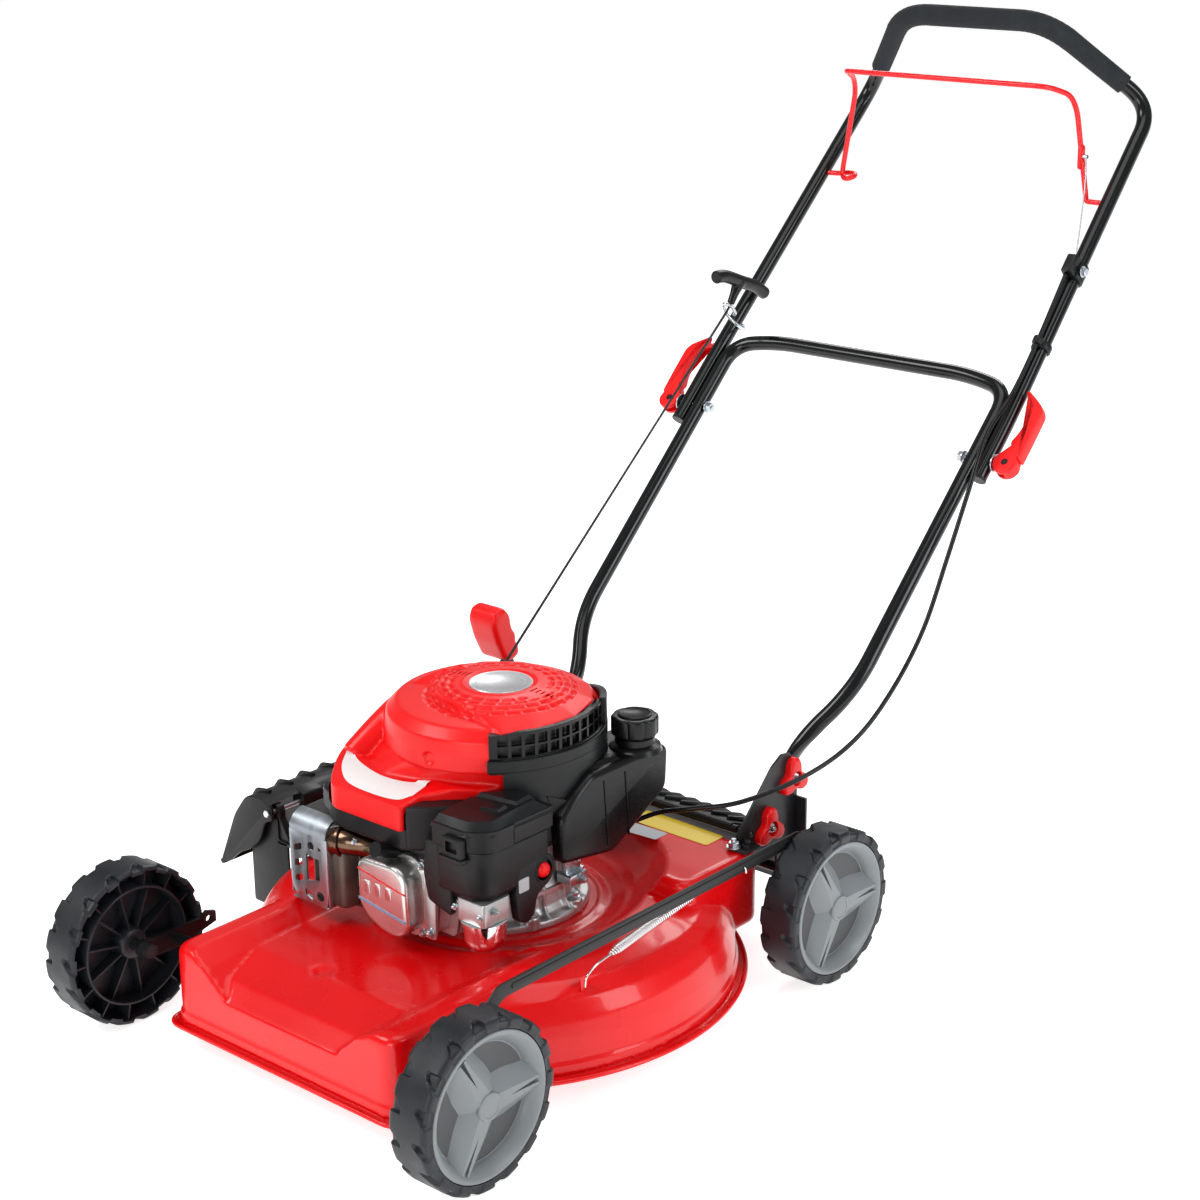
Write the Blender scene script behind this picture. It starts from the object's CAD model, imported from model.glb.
import math

import bmesh
import bpy
from mathutils import Matrix, Vector
from mathutils.bvhtree import BVHTree


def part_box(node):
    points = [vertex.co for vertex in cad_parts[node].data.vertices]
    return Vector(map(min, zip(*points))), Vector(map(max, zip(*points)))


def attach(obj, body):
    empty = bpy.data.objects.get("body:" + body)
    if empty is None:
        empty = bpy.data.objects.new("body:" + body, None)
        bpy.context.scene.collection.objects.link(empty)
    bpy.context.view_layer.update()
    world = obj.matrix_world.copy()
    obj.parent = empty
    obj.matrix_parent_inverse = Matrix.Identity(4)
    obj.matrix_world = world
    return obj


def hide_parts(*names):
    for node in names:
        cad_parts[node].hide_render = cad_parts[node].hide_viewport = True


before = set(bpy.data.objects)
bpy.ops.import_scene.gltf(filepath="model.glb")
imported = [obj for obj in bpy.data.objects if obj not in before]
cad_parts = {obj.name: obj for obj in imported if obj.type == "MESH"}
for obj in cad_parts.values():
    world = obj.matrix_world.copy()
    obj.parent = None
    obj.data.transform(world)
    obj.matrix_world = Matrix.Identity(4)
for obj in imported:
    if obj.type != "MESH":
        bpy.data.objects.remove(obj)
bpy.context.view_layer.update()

# Shapes below are laid out in millimetres, with y = 0 at the front wheel centres,
# x = 0 on the centre line and z = 0 on the ground. TO_FRAME carries them into the row frame.
MM = 0.001
WHEEL_X, WHEEL_R, WHEEL_W, WHEELBASE = 262.0, 89.0, 47.0, 556.0
CRANK_R = 40.0
CRANK_Y = 308.0
AXLE_Y = {"front": CRANK_R, "rear": WHEELBASE + CRANK_R}
wheel_low, wheel_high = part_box("tyre_front_left")
ORIGIN = Vector(((wheel_low[0] + wheel_high[0]) / 2 - WHEEL_X * MM, (wheel_low[1] + wheel_high[1]) / 2, 0))
TO_FRAME = Matrix.Translation(ORIGIN) @ Matrix.Scale(MM, 4)
SIDES = {"left": 1, "right": -1}


def at(x, y, z):
    """A point in the row frame, in metres."""
    return TO_FRAME @ Vector((x, y, z))


# ---------------------------------------------------------------- camera, floor, light
def place_camera():
    azimuth, elevation, roll = math.radians(40.38), math.radians(18.34), math.radians(-0.27)
    away = Vector((math.sin(azimuth) * math.cos(elevation), -math.cos(azimuth) * math.cos(elevation),
                   math.sin(elevation)))
    right = Vector((0, 0, 1)).cross(away).normalized()
    up = away.cross(right)
    turned_right = right * math.cos(roll) + up * math.sin(roll)
    turned_up = up * math.cos(roll) - right * math.sin(roll)
    camera = bpy.data.objects.new("camera", bpy.data.cameras.new("camera"))
    camera.data.lens = 71.8
    camera.data.sensor_width = 36
    camera.data.shift_x = -0.0467
    camera.data.clip_end = 50
    basis = Matrix((turned_right, turned_up, away)).transposed().to_4x4()
    camera.matrix_world = Matrix.Translation(at(1689, -1408, 1247)) @ basis
    bpy.context.collection.objects.link(camera)
    bpy.context.scene.camera = camera


def area_light(name, place, target, size, power, tint=(1, 1, 1)):
    lamp = bpy.data.lights.new(name, "AREA")
    lamp.shape = "RECTANGLE"
    lamp.size, lamp.size_y = size
    lamp.energy = power
    lamp.color = tint
    obj = bpy.data.objects.new(name, lamp)
    obj.location = place
    obj.rotation_euler = (Vector(target) - Vector(place)).to_track_quat("-Z", "Y").to_euler()
    bpy.context.collection.objects.link(obj)


def studio():
    bm = bmesh.new()
    bmesh.ops.create_grid(bm, x_segments=2, y_segments=2, size=40)
    mesh = bpy.data.meshes.new("floor")
    bm.to_mesh(mesh)
    bm.free()
    floor = bpy.data.objects.new("floor", mesh)
    floor.location.z = -0.0005
    bpy.context.collection.objects.link(floor)
    paper = bpy.data.materials.new("paper")
    paper.use_nodes = True
    shader = paper.node_tree.nodes["Principled BSDF"]
    shader.inputs["Base Color"].default_value = (0.92, 0.92, 0.92, 1)
    shader.inputs["Roughness"].default_value = 0.9
    shader.inputs["Emission Color"].default_value = (1, 1, 1, 1)
    shader.inputs["Emission Strength"].default_value = 0.72
    floor.data.materials.append(paper)
    world = bpy.data.worlds.new("studio")
    world.use_nodes = True
    world.node_tree.nodes["Background"].inputs["Color"].default_value = (1, 1, 1, 1)
    world.node_tree.nodes["Background"].inputs["Strength"].default_value = 0.3
    bpy.context.scene.world = world
    bpy.context.scene.view_settings.view_transform = "Standard"
    middle = (0, 0, 0.4)
    area_light("key", (-1.6, -2.4, 3.0), middle, (1.8, 1.4), 70)
    area_light("side", (2.9, 0.4, 1.5), middle, (1.0, 2.2), 40, (0.93, 0.97, 1.0))
    area_light("back", (-1.2, 2.6, 2.4), middle, (2.4, 1.0), 44)
    area_light("front", (0.9, -3.0, 0.9), middle, (1.4, 1.0), 24)
    area_light("top", (0.3, 0.1, 3.2), middle, (2.0, 2.0), 26)


# ---------------------------------------------------------------- materials
def surface(name, colour, rough, metal=0.0, coat=0.0, tint=0.08, patch=14, grain=700, bump=0.1, depth=0.0002,
            stretch=(1, 1, 1), worn=None, specular=0.5, rough_swing=0.25):
    """Painted, moulded or metal finish: colour and roughness vary in patches, fine grain gives the bump."""
    material = bpy.data.materials.new(name)
    material.use_nodes = True
    nodes, links = material.node_tree.nodes, material.node_tree.links
    shader = nodes["Principled BSDF"]
    shader.inputs["Metallic"].default_value = metal
    shader.inputs["Coat Weight"].default_value = coat
    shader.inputs["Coat Roughness"].default_value = 0.06
    shader.inputs["Specular IOR Level"].default_value = specular
    coords = nodes.new("ShaderNodeTexCoord")
    mapping = nodes.new("ShaderNodeMapping")
    mapping.inputs["Scale"].default_value = stretch
    links.new(coords.outputs["Object"], mapping.inputs["Vector"])

    def noise(scale, detail):
        node = nodes.new("ShaderNodeTexNoise")
        node.inputs["Scale"].default_value = scale
        node.inputs["Detail"].default_value = detail
        links.new(mapping.outputs["Vector"], node.inputs["Vector"])
        return node.outputs["Fac"]

    patches, fine = noise(patch, 5), noise(grain, 3)
    ramp = nodes.new("ShaderNodeValToRGB")
    ramp.color_ramp.elements[0].position = 0.3
    ramp.color_ramp.elements[1].position = 0.7
    ramp.color_ramp.elements[0].color = (*[c * (1 - tint) for c in colour], 1)
    ramp.color_ramp.elements[1].color = (*[min(1, c * (1 + tint)) for c in colour], 1)
    links.new(patches, ramp.inputs["Fac"])
    colour_out = ramp.outputs["Color"]
    if worn:
        geometry = nodes.new("ShaderNodeNewGeometry")
        edge = nodes.new("ShaderNodeMapRange")
        edge.inputs["From Min"].default_value = 0.53
        edge.inputs["From Max"].default_value = 0.62
        links.new(geometry.outputs["Pointiness"], edge.inputs["Value"])
        rubbed = nodes.new("ShaderNodeMath")
        rubbed.operation = "MULTIPLY"
        links.new(edge.outputs["Result"], rubbed.inputs[0])
        links.new(patches, rubbed.inputs[1])
        mix = nodes.new("ShaderNodeMix")
        mix.data_type = "RGBA"
        links.new(rubbed.outputs["Value"], mix.inputs["Factor"])
        links.new(colour_out, mix.inputs["A"])
        mix.inputs["B"].default_value = (*worn, 1)
        colour_out = mix.outputs["Result"]
    links.new(colour_out, shader.inputs["Base Color"])
    spread = nodes.new("ShaderNodeMapRange")
    spread.inputs["From Min"].default_value = 0.3
    spread.inputs["From Max"].default_value = 0.7
    spread.inputs["To Min"].default_value = rough * (1 - rough_swing)
    spread.inputs["To Max"].default_value = min(1, rough * (1 + rough_swing))
    links.new(patches, spread.inputs["Value"])
    links.new(spread.outputs["Result"], shader.inputs["Roughness"])
    relief = nodes.new("ShaderNodeBump")
    relief.inputs["Strength"].default_value = bump
    relief.inputs["Distance"].default_value = depth
    links.new(fine, relief.inputs["Height"])
    links.new(relief.outputs["Normal"], shader.inputs["Normal"])
    return material


RED_PAINT = surface("red_paint", (0.72, 0.0015, 0.003), 0.3, coat=0.35, tint=0.03, grain=260, bump=0.05,
                    depth=0.0004, specular=0.2)
RED_PLASTIC = surface("red_plastic", (0.80, 0.002, 0.003), 0.4, coat=0.05, tint=0.04, grain=1500, bump=0.12,
                      specular=0.3)
RED_WIRE = surface("red_wire", (0.72, 0.006, 0.010), 0.32, coat=0.3, tint=0.04, grain=900, specular=0.22)
BLACK_TUBE = surface("black_tube", (0.0035, 0.0038, 0.0042), 0.2, coat=0.35, tint=0.15, grain=420, bump=0.1,
                     depth=0.0003, specular=0.2)
BLACK_PRESSED = surface("black_pressed", (0.006, 0.006, 0.0065), 0.33, tint=0.15, grain=500, bump=0.1,
                        worn=(0.05, 0.05, 0.055), specular=0.25)
STRAP = surface("grey_strap", (0.022, 0.022, 0.022), 0.4, metal=0.2, tint=0.12, grain=500,
                worn=(0.08, 0.08, 0.08), specular=0.3)
BLACK_PLASTIC = surface("black_plastic", (0.006, 0.0062, 0.0068), 0.4, tint=0.12, grain=1900, bump=0.25,
                        specular=0.28)
SATIN_PLASTIC = surface("satin_plastic", (0.004, 0.004, 0.0045), 0.28, tint=0.12, grain=1600, bump=0.15,
                        specular=0.28)
RUBBER = surface("tyre_rubber", (0.008, 0.010, 0.013), 0.48, tint=0.2, patch=30, grain=1300, bump=0.4,
                 specular=0.4)
FOAM = surface("foam", (0.022, 0.025, 0.028), 0.93, tint=0.22, patch=60, grain=1700, bump=0.8, depth=0.0006,
               specular=0.15)
GREY_PLASTIC = surface("grey_plastic", (0.19, 0.205, 0.215), 0.36, tint=0.05, grain=1500, bump=0.2,
                       specular=0.4)
RECESS_GREY = surface("recess_grey", (0.05, 0.052, 0.054), 0.5, tint=0.1, grain=1500, bump=0.2)
CAST = surface("cast_aluminium", (0.50, 0.49, 0.49), 0.4, metal=0.85, tint=0.14, patch=40, grain=900,
               bump=0.5, depth=0.0004, worn=(0.8, 0.8, 0.8))
CHROME = surface("chrome", (0.78, 0.78, 0.79), 0.09, metal=1.0, tint=0.03, grain=300, bump=0.02)
STEEL = surface("bright_steel", (0.62, 0.63, 0.64), 0.24, metal=1.0, tint=0.08, grain=500, bump=0.1,
                stretch=(1, 1, 9))
ZINC = surface("zinc_plate", (0.55, 0.60, 0.63), 0.28, metal=1.0, tint=0.1, grain=600, bump=0.1)
SATIN_STEEL = surface("satin_steel", (0.44, 0.48, 0.52), 0.36, metal=0.95, tint=0.08, grain=600, bump=0.15,
                      stretch=(7, 1, 1))
HOT_STEEL = surface("heat_stained_steel", (0.115, 0.10, 0.085), 0.45, metal=0.8, tint=0.35, patch=26,
                    grain=600, bump=0.35)
BRONZE = surface("bronzed_steel", (0.17, 0.105, 0.07), 0.2, metal=1.0, tint=0.4, patch=40, grain=600,
                 bump=0.1)
LABEL = surface("silver_label", (0.60, 0.61, 0.62), 0.3, metal=0.55, tint=0.04, grain=2200, bump=0.05)
WHITE_LABEL = surface("white_label", (0.82, 0.82, 0.81), 0.35, coat=0.3, tint=0.03, grain=900, bump=0.05)
YELLOW_LABEL = surface("yellow_label", (0.80, 0.56, 0.012), 0.4, tint=0.04, grain=900, bump=0.05)
GREY_LABEL = surface("grey_label", (0.42, 0.43, 0.45), 0.4, tint=0.05, grain=900, bump=0.05)
DARK_PRINT = surface("dark_print", (0.02, 0.02, 0.02), 0.5, tint=0.1, grain=900, bump=0.05)
COVER_STEEL = surface("cover_steel", (0.66, 0.65, 0.64), 0.27, metal=0.9, coat=0.3, tint=0.05, grain=500,
                      bump=0.06)
PALE_BLUE = surface("pale_blue_print", (0.20, 0.36, 0.55), 0.35, metal=0.3, tint=0.05, grain=900, bump=0.05)
ROPE = surface("braided_rope", (0.012, 0.012, 0.013), 0.75, tint=0.3, patch=300, grain=1600, bump=0.8,
               depth=0.0005)


# ---------------------------------------------------------------- mesh making
def _temporary(bm):
    mesh = bpy.data.meshes.new("temporary")
    bm.to_mesh(mesh)
    bm.free()
    obj = bpy.data.objects.new("temporary", mesh)
    bpy.context.collection.objects.link(obj)
    return obj


def _evaluated(obj, *helpers):
    """The mesh of obj with its modifiers, as a bmesh. obj and its helpers are removed."""
    bpy.context.view_layer.update()
    graph = bpy.context.evaluated_depsgraph_get()
    mesh = bpy.data.meshes.new_from_object(obj.evaluated_get(graph))
    bm = bmesh.new()
    bm.from_mesh(mesh)
    bpy.data.meshes.remove(mesh)
    for old in (obj, *helpers):
        data = old.data
        bpy.data.objects.remove(old)
        bpy.data.meshes.remove(data)
    return bm


def combine(operation, base, *tools):
    """Boolean of closed shapes: DIFFERENCE, UNION or INTERSECT, one tool after the other."""
    target = _temporary(base)
    helpers = [_temporary(tool) for tool in tools]
    for helper in helpers:
        step = target.modifiers.new("step", "BOOLEAN")
        step.operation = operation
        step.object = helper
        step.solver = "EXACT"
    return _evaluated(target, *helpers)


def joined(base, *tools):
    return combine("UNION", base, *tools)


def without(base, *tools):
    return combine("DIFFERENCE", base, *tools)


def melted(bm, voxel, rounds, factor=0.5):
    """One continuous skin over overlapping closed shapes, with creases as soft as those of cast metal."""
    obj = _temporary(bm)
    remesh = obj.modifiers.new("skin", "REMESH")
    remesh.mode = "VOXEL"
    remesh.voxel_size = voxel
    soften = obj.modifiers.new("soften", "SMOOTH")
    soften.factor = factor
    soften.iterations = rounds
    return _evaluated(obj)


def merged(*shapes):
    """Several shapes as one bmesh, without a boolean."""
    whole = bmesh.new()
    for shape in shapes:
        mesh = bpy.data.meshes.new("temporary")
        shape.to_mesh(mesh)
        shape.free()
        whole.from_mesh(mesh)
        bpy.data.meshes.remove(mesh)
    return whole


def moved(bm, matrix):
    bmesh.ops.transform(bm, matrix=matrix, verts=bm.verts)
    if matrix.determinant() < 0:
        bmesh.ops.reverse_faces(bm, faces=bm.faces)
    return bm


def aimed(place, direction):
    """Matrix that stands something made along +Z at a place, pointing in a direction."""
    turn = Vector((0, 0, 1)).rotation_difference(direction)
    return Matrix.Translation(place) @ turn.to_matrix().to_4x4()


def shifted(bm, x=0, y=0, z=0):
    return moved(bm, Matrix.Translation((x, y, z)))


def spun(bm, degrees, axis, centre=(0, 0, 0)):
    there = Matrix.Translation(centre)
    return moved(bm, there @ Matrix.Rotation(math.radians(degrees), 4, axis) @ there.inverted())


def flipped(bm):
    return moved(bm, Matrix.Scale(-1, 4, (1, 0, 0)))


def outward(bm):
    bmesh.ops.recalc_face_normals(bm, faces=bm.faces)
    return bm


def block(x0, x1, y0, y1, z0, z1):
    bm = bmesh.new()
    bmesh.ops.create_cube(bm, size=1)
    grow = Matrix.Diagonal((x1 - x0, y1 - y0, z1 - z0, 1))
    return moved(bm, Matrix.Translation(((x0 + x1) / 2, (y0 + y1) / 2, (z0 + z1) / 2)) @ grow)


AXES = {"Z": Matrix.Identity(4), "X": Matrix.Rotation(math.pi / 2, 4, "Y"),
        "Y": Matrix.Rotation(-math.pi / 2, 4, "X")}


def lathe(profile, sides=64, centre=(0, 0, 0), axis="Z"):
    """Closed profile of (radius, height) points turned about an axis. A radius of 0 closes on the axis."""
    bm = bmesh.new()
    rings = []
    for radius, height in profile:
        if radius < 1e-6:
            rings.append([bm.verts.new((0, 0, height))])
            continue
        turns = (2 * math.pi * i / sides for i in range(sides))
        rings.append([bm.verts.new((radius * math.cos(t), radius * math.sin(t), height)) for t in turns])
    pairs = list(zip(rings, rings[1:]))
    if len(rings[0]) > 1:
        pairs.append((rings[-1], rings[0]))
    for lower, upper in pairs:
        for i in range(sides):
            j = (i + 1) % sides
            corners = [lower[i % len(lower)], lower[j % len(lower)], upper[j % len(upper)],
                       upper[i % len(upper)]]
            unique = list(dict.fromkeys(corners))
            if len(unique) > 2:
                bm.faces.new(unique)
    return moved(outward(bm), Matrix.Translation(centre) @ AXES[axis])


def rounded(points, radius, arc=5):
    """Polygon corners replaced by arcs. A point may carry its own radius as a third value."""
    out = []
    count = len(points)
    for i in range(count):
        here = Vector(points[i][:2])
        before, after = Vector(points[i - 1][:2]), Vector(points[(i + 1) % count][:2])
        size = points[i][2] if len(points[i]) > 2 else radius
        reach = min(size, (before - here).length * 0.48, (after - here).length * 0.48)
        if reach < 0.05:
            out.append(tuple(here))
            continue
        first = here + (before - here).normalized() * reach
        last = here + (after - here).normalized() * reach
        for k in range(arc + 1):
            t = k / arc
            out.append(tuple(first * (1 - t) ** 2 + here * 2 * t * (1 - t) + last * t * t))
    return out


def circle(u, v, radius, sides=32):
    return [(u + radius * math.cos(2 * math.pi * i / sides), v + radius * math.sin(2 * math.pi * i / sides))
            for i in range(sides)]


def lobed_outline(count, reach, u=0, v=0):
    """Closed outline round (u, v) whose distance from it is reach(angle)."""
    turns = [2 * math.pi * i / count for i in range(count)]
    return [(u + reach(a) * math.cos(a), v + reach(a) * math.sin(a)) for a in turns]


def slab(outline, low, high, axis="Z", edge=0.0, steps=2):
    """Outline run from low to high along an axis. It holds (x, y) for Z, (y, z) for X and (x, z) for Y.

    edge rounds the rims of both ends."""
    spots = {"Z": lambda u, v, w: (u, v, w), "X": lambda u, v, w: (w, u, v), "Y": lambda u, v,
             w: (u, w, v)}[axis]
    bm = bmesh.new()
    bottom = [bm.verts.new(spots(u, v, low)) for u, v in outline]
    top = [bm.verts.new(spots(u, v, high)) for u, v in outline]
    caps = [bm.faces.new(bottom), bm.faces.new(top)]
    for i in range(len(outline)):
        j = (i + 1) % len(outline)
        bm.faces.new((bottom[i], bottom[j], top[j], top[i]))
    outward(bm)
    if edge > 0:
        rims = list({e for cap in caps for e in cap.edges})
        bmesh.ops.bevel(bm, geom=rims, offset=edge, segments=steps, affect="EDGES", profile=0.5)
    return bm


def route(points, bend, step):
    """Points along a path whose corners are rounded by bend, spaced finely in the bends."""
    path = [Vector(p) for p in points]
    out = [path[0]]
    for i in range(1, len(path) - 1):
        before, here, after = path[i - 1], path[i], path[i + 1]
        size = bend[i - 1] if isinstance(bend, (list, tuple)) else bend
        reach = min(size, (before - here).length * 0.49, (after - here).length * 0.49)
        first = here + (before - here).normalized() * reach
        last = here + (after - here).normalized() * reach
        pieces = max(3, int(2 * reach / step))
        for k in range(pieces + 1):
            t = k / pieces
            out.append(first * (1 - t) ** 2 + here * 2 * t * (1 - t) + last * t * t)
    out.append(path[-1])
    return out


def curve_route(points, per_span=6):
    """Smooth Catmull-Rom path through the points."""
    p = [Vector(q) for q in points]
    p = [p[0] * 2 - p[1]] + p + [p[-1] * 2 - p[-2]]
    out = []
    for i in range(1, len(p) - 2):
        for k in range(per_span):
            t = k / per_span
            a, b, c, d = p[i - 1], p[i], p[i + 1], p[i + 2]
            out.append(0.5
                       * (2 * b + (c - a) * t + (2 * a - 5 * b + 4 * c - d) * t * t
                          + (3 * b - 3 * c + d - a) * t ** 3))
    out.append(p[-2])
    return out


def tube(path, radius, sides=16):
    """Round bar along a list of points. radius may be a list, with one value for each point."""
    points = [Vector(p) for p in path]
    bm = bmesh.new()
    tangents = []
    for i in range(len(points)):
        tangents.append((points[min(i + 1, len(points) - 1)] - points[max(i - 1, 0)]).normalized())
    reference = Vector((0, 0, 1)) if abs(tangents[0].z) < 0.9 else Vector((1, 0, 0))
    normal = tangents[0].cross(reference).normalized()
    rings = []
    for i, (point, tangent) in enumerate(zip(points, tangents)):
        if i:
            turn = tangents[i - 1].rotation_difference(tangent)
            normal = (turn @ normal).normalized()
        other = tangent.cross(normal)
        size = radius[i] if isinstance(radius, (list, tuple)) else radius
        rings.append([bm.verts.new(point + (normal * math.cos(a) + other * math.sin(a)) * size)
                      for a in (2 * math.pi * k / sides for k in range(sides))])
    for lower, upper in zip(rings, rings[1:]):
        for k in range(sides):
            j = (k + 1) % sides
            bm.faces.new((lower[k], lower[j], upper[j], upper[k]))
    bm.faces.new(rings[0])
    bm.faces.new(rings[-1])
    return outward(bm)


def rod(start, end, radius, sides=24, edge=0.0):
    """Straight bar between two points, its end rims rounded by edge."""
    a, b = Vector(start), Vector(end)
    length = (b - a).length
    profile = [(0, 0), (radius - edge, 0), (radius, edge), (radius, length - edge), (radius - edge, length),
               (0, length)]
    if edge <= 0:
        profile = [(0, 0), (radius, 0), (radius, length), (0, length)]
    bm = lathe(profile, sides)
    return moved(bm, aimed(a, (b - a).normalized()))


def hex_bolt(start, direction, radius=6.5, head=5, washer=8.5, stud=3, stud_length=4):
    """Bolt head on its washer with the thread end showing, looking along direction."""
    a, d = Vector(start), Vector(direction).normalized()
    return merged(rod(a, a + d * 1.4, washer, 28, 0.3),
                  rod(a + d * 1.4, a + d * (1.4 + head), radius, 6, 0.4),
                  rod(a + d * (1.4 + head), a + d * (1.4 + head + stud_length), stud, 16, 0.6))


def soften_edges(obj, width, steps, angle):
    """Small round on every edge sharper than angle. width is in millimetres."""
    rounding = obj.modifiers.new("rounding", "BEVEL")
    rounding.width = width * MM
    rounding.segments = steps
    rounding.limit_method = "ANGLE"
    rounding.angle_limit = math.radians(angle)
    rounding.harden_normals = True


def piece(name, bm, material, body, stands_for=(), crease=38, bevel=0.0, steps=2):
    """A finished object: carried into the row frame, shaded, given its material and its CAD body."""
    moved(bm, TO_FRAME)
    mesh = bpy.data.meshes.new(name)
    bm.to_mesh(mesh)
    bm.free()
    obj = bpy.data.objects.new(name, mesh)
    bpy.context.collection.objects.link(obj)
    mesh.shade_smooth()
    mesh.set_sharp_from_angle(angle=math.radians(crease))
    mesh.materials.append(material)
    if bevel:
        soften_edges(obj, bevel, steps, 35)
    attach(obj, body)
    if stands_for:
        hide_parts(*stands_for)
    return obj


def keep(node, material, bevel):
    """A CAD piece whose own shape is shown, with a finished material and softened edges."""
    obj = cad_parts[node]
    obj.data.materials.clear()
    obj.data.materials.append(material)
    soften_edges(obj, bevel, 2, 30)


def smoothstep(low, high, value):
    t = min(1.0, max(0.0, (value - low) / (high - low)))
    return t * t * (3 - 2 * t)


def bell(value, centre, width):
    return math.exp(-((value - centre) / width) ** 2)


# ---------------------------------------------------------------- wheels
LUGS = 16
TREAD_STEPS = 480


def pocket_mask(arc, across_tread):
    """1 inside the wedge-shaped pockets that open at both edges of the tread, 0 on the plain band."""
    pitch = 2 * math.pi * WHEEL_R / LUGS
    if across_tread < 0:
        arc, across_tread = -arc + pitch / 2, -across_tread
    u = arc % pitch
    slant = 8 + (across_tread - 10) * 0.95
    inside = min(u - 3.0, slant - u, across_tread - 9.5)
    return smoothstep(-0.45, 0.45, inside)


def wheel_body():
    """Tyre with its pockets, double rim, ribs and boss, on x = 0 with the outer face towards +X."""
    half = WHEEL_W / 2
    profile = [(-half, 84.3), (-half, 86.0), (-22.4, 87.6), (-20.6, 88.6)]
    profile += [(x * 1.35, WHEEL_R) for x in range(-14, 15)]
    profile += [(20.6, 88.5), (22.4, 87.2), (half, 85.0), (half, 82.2), (half, 79.4), (half - 0.6, 76.9),
                (half - 2.6, 76.5)]
    inner = [(8, 76.2), (4, 83.6), (-half + 1, 83.6)]
    bm = bmesh.new()
    rings = []
    for x, r in profile + inner:
        ring = []
        for i in range(TREAD_STEPS):
            turn = 2 * math.pi * i / TREAD_STEPS
            px, pr = x, r
            if (x, r) not in inner and r > 79:
                mask = pocket_mask(turn * WHEEL_R, x)
                deep = 3.6 if abs(x) < half else 3.6 * (r - 79) / 6.2
                pr = r - deep * mask
                if x >= half:
                    px = x - 1.5 * mask
            ring.append(bm.verts.new((px, pr * math.cos(turn), pr * math.sin(turn))))
        rings.append(ring)
    for a, b in zip(rings, rings[1:] + rings[:1]):
        for i in range(TREAD_STEPS):
            j = (i + 1) % TREAD_STEPS
            bm.faces.new((a[i], a[j], b[j], b[i]))
    outward(bm)
    core = lathe([(84, -22.6), (84, 2), (67.2, 2), (66.6, -20.5), (66, -21), (64.6, -21), (64, -20.5),
                  (64, 3), (19, 3), (16.5, -14.5), (15.5, -15.5), (6.4, -15.5), (6.4, 8), (20, 8), (72, 6),
                  (74, 10), (75.6, 10)], 96, axis="X")
    parts = [bm, core]
    for i in range(14):
        parts.append(spun(slab([(-19.5, 65), (-19.5, 84.2), (2.5, 84.2), (2.5, 65)], -0.9, 0.9),
                          360 * i / 14, "X"))
    for i in range(10):
        parts.append(spun(slab([(-12.5, 14), (-8.5, 64.5), (3.5, 64.5), (3.5, 14)], -1.1, 1.1),
                          360 * i / 10 + 9, "X"))
    return merged(*parts)


def hull(points):
    bm = bmesh.new()
    for p in points:
        bm.verts.new(p)
    found = bmesh.ops.convex_hull(bm, input=bm.verts)
    inside = {g for g in found["geom_interior"] + found["geom_unused"] if isinstance(g, bmesh.types.BMVert)}
    if inside:
        bmesh.ops.delete(bm, geom=list(inside), context="VERTS")
    return outward(bm)


def wheel_face():
    """Grey cover: dished ring, three tapered spokes grooved towards the rim, round cap in the middle."""
    half = WHEEL_W / 2
    ring = lathe([(76, 14.8), (76, half - 0.9), (75.2, half), (72.8, half), (71.4, half - 0.7), (68, 19.8),
                  (64.5, 15.6), (62.4, 12.4), (61.4, 9.4), (60, 9.4), (60, 8), (66, 8.6), (70, 14.8)], 128,
                 axis="X")
    spokes = []
    for i in range(3):
        corners = ((21.6, -4, 9), (21.6, 30, 7.4), (21.4, 71, 4.4), (8.6, -8, 27), (8.6, 30, 26),
                   (8.6, 71, 19))
        solid = hull([(h, u, side * v) for side in (1, -1) for h, u, v in corners])
        groove = hull([(25, 30, 0), (19, 30, 0)]
                      + [(h, 70, side * 2.7) for side in (1, -1) for h in (25, 14.5)])
        spokes.append(spun(without(solid, groove), 120 * i, "X"))
    star = joined(*spokes)
    star = combine("INTERSECT", star, lathe([(0, 8.7), (68.5, 8.7), (68.5, 24), (0, 24)], 96, axis="X"))
    cap = lathe([(0, 9), (15, 9), (15, 21.4), (14, 23.0), (11.5, 23.4), (10.6, 22.7), (0, 23.0)], 48,
                axis="X")
    return merged(ring, star, cap)


def build_wheels():
    body, face = wheel_body(), wheel_face()
    floor = lathe([(0, 7.6), (67, 7.6), (67, 9.3), (0, 9.3)], 72, axis="X")
    for end, y in (("front", 0), ("rear", WHEELBASE)):
        for side, sign in SIDES.items():
            outward_side = Matrix.Identity(4) if sign > 0 else Matrix.Rotation(math.pi, 4, "Z")
            place = Matrix.Translation((sign * WHEEL_X, y, WHEEL_R)) @ outward_side
            name = f"{end}_{side}"
            piece(f"tyre_skin_{name}", moved(body.copy(), place), RUBBER, f"wheel_{name}", [f"tyre_{name}"],
                  crease=50)
            piece(f"wheel_face_{name}", moved(face.copy(), place), GREY_PLASTIC, f"wheel_{name}",
                  [f"wheel_cover_{name}"], crease=28, bevel=0.5)
            piece(f"wheel_recess_{name}", moved(floor.copy(), place), RECESS_GREY, f"wheel_{name}")
    for bm in (body, face, floor):
        bm.free()


# ---------------------------------------------------------------- deck
DECK_LOW, DRUM_Y, DRUM_R, LIP_R = 28.0, 300.0, 268.0, 279.0
FRONT_HALF, FRONT_Y, FRONT_TOP = 168.0, -12.0, 120.0
REAR_HALF, REAR_Y, REAR_TOP = 200.0, 522.0, 150.0
DISH_Z = 108.0


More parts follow.
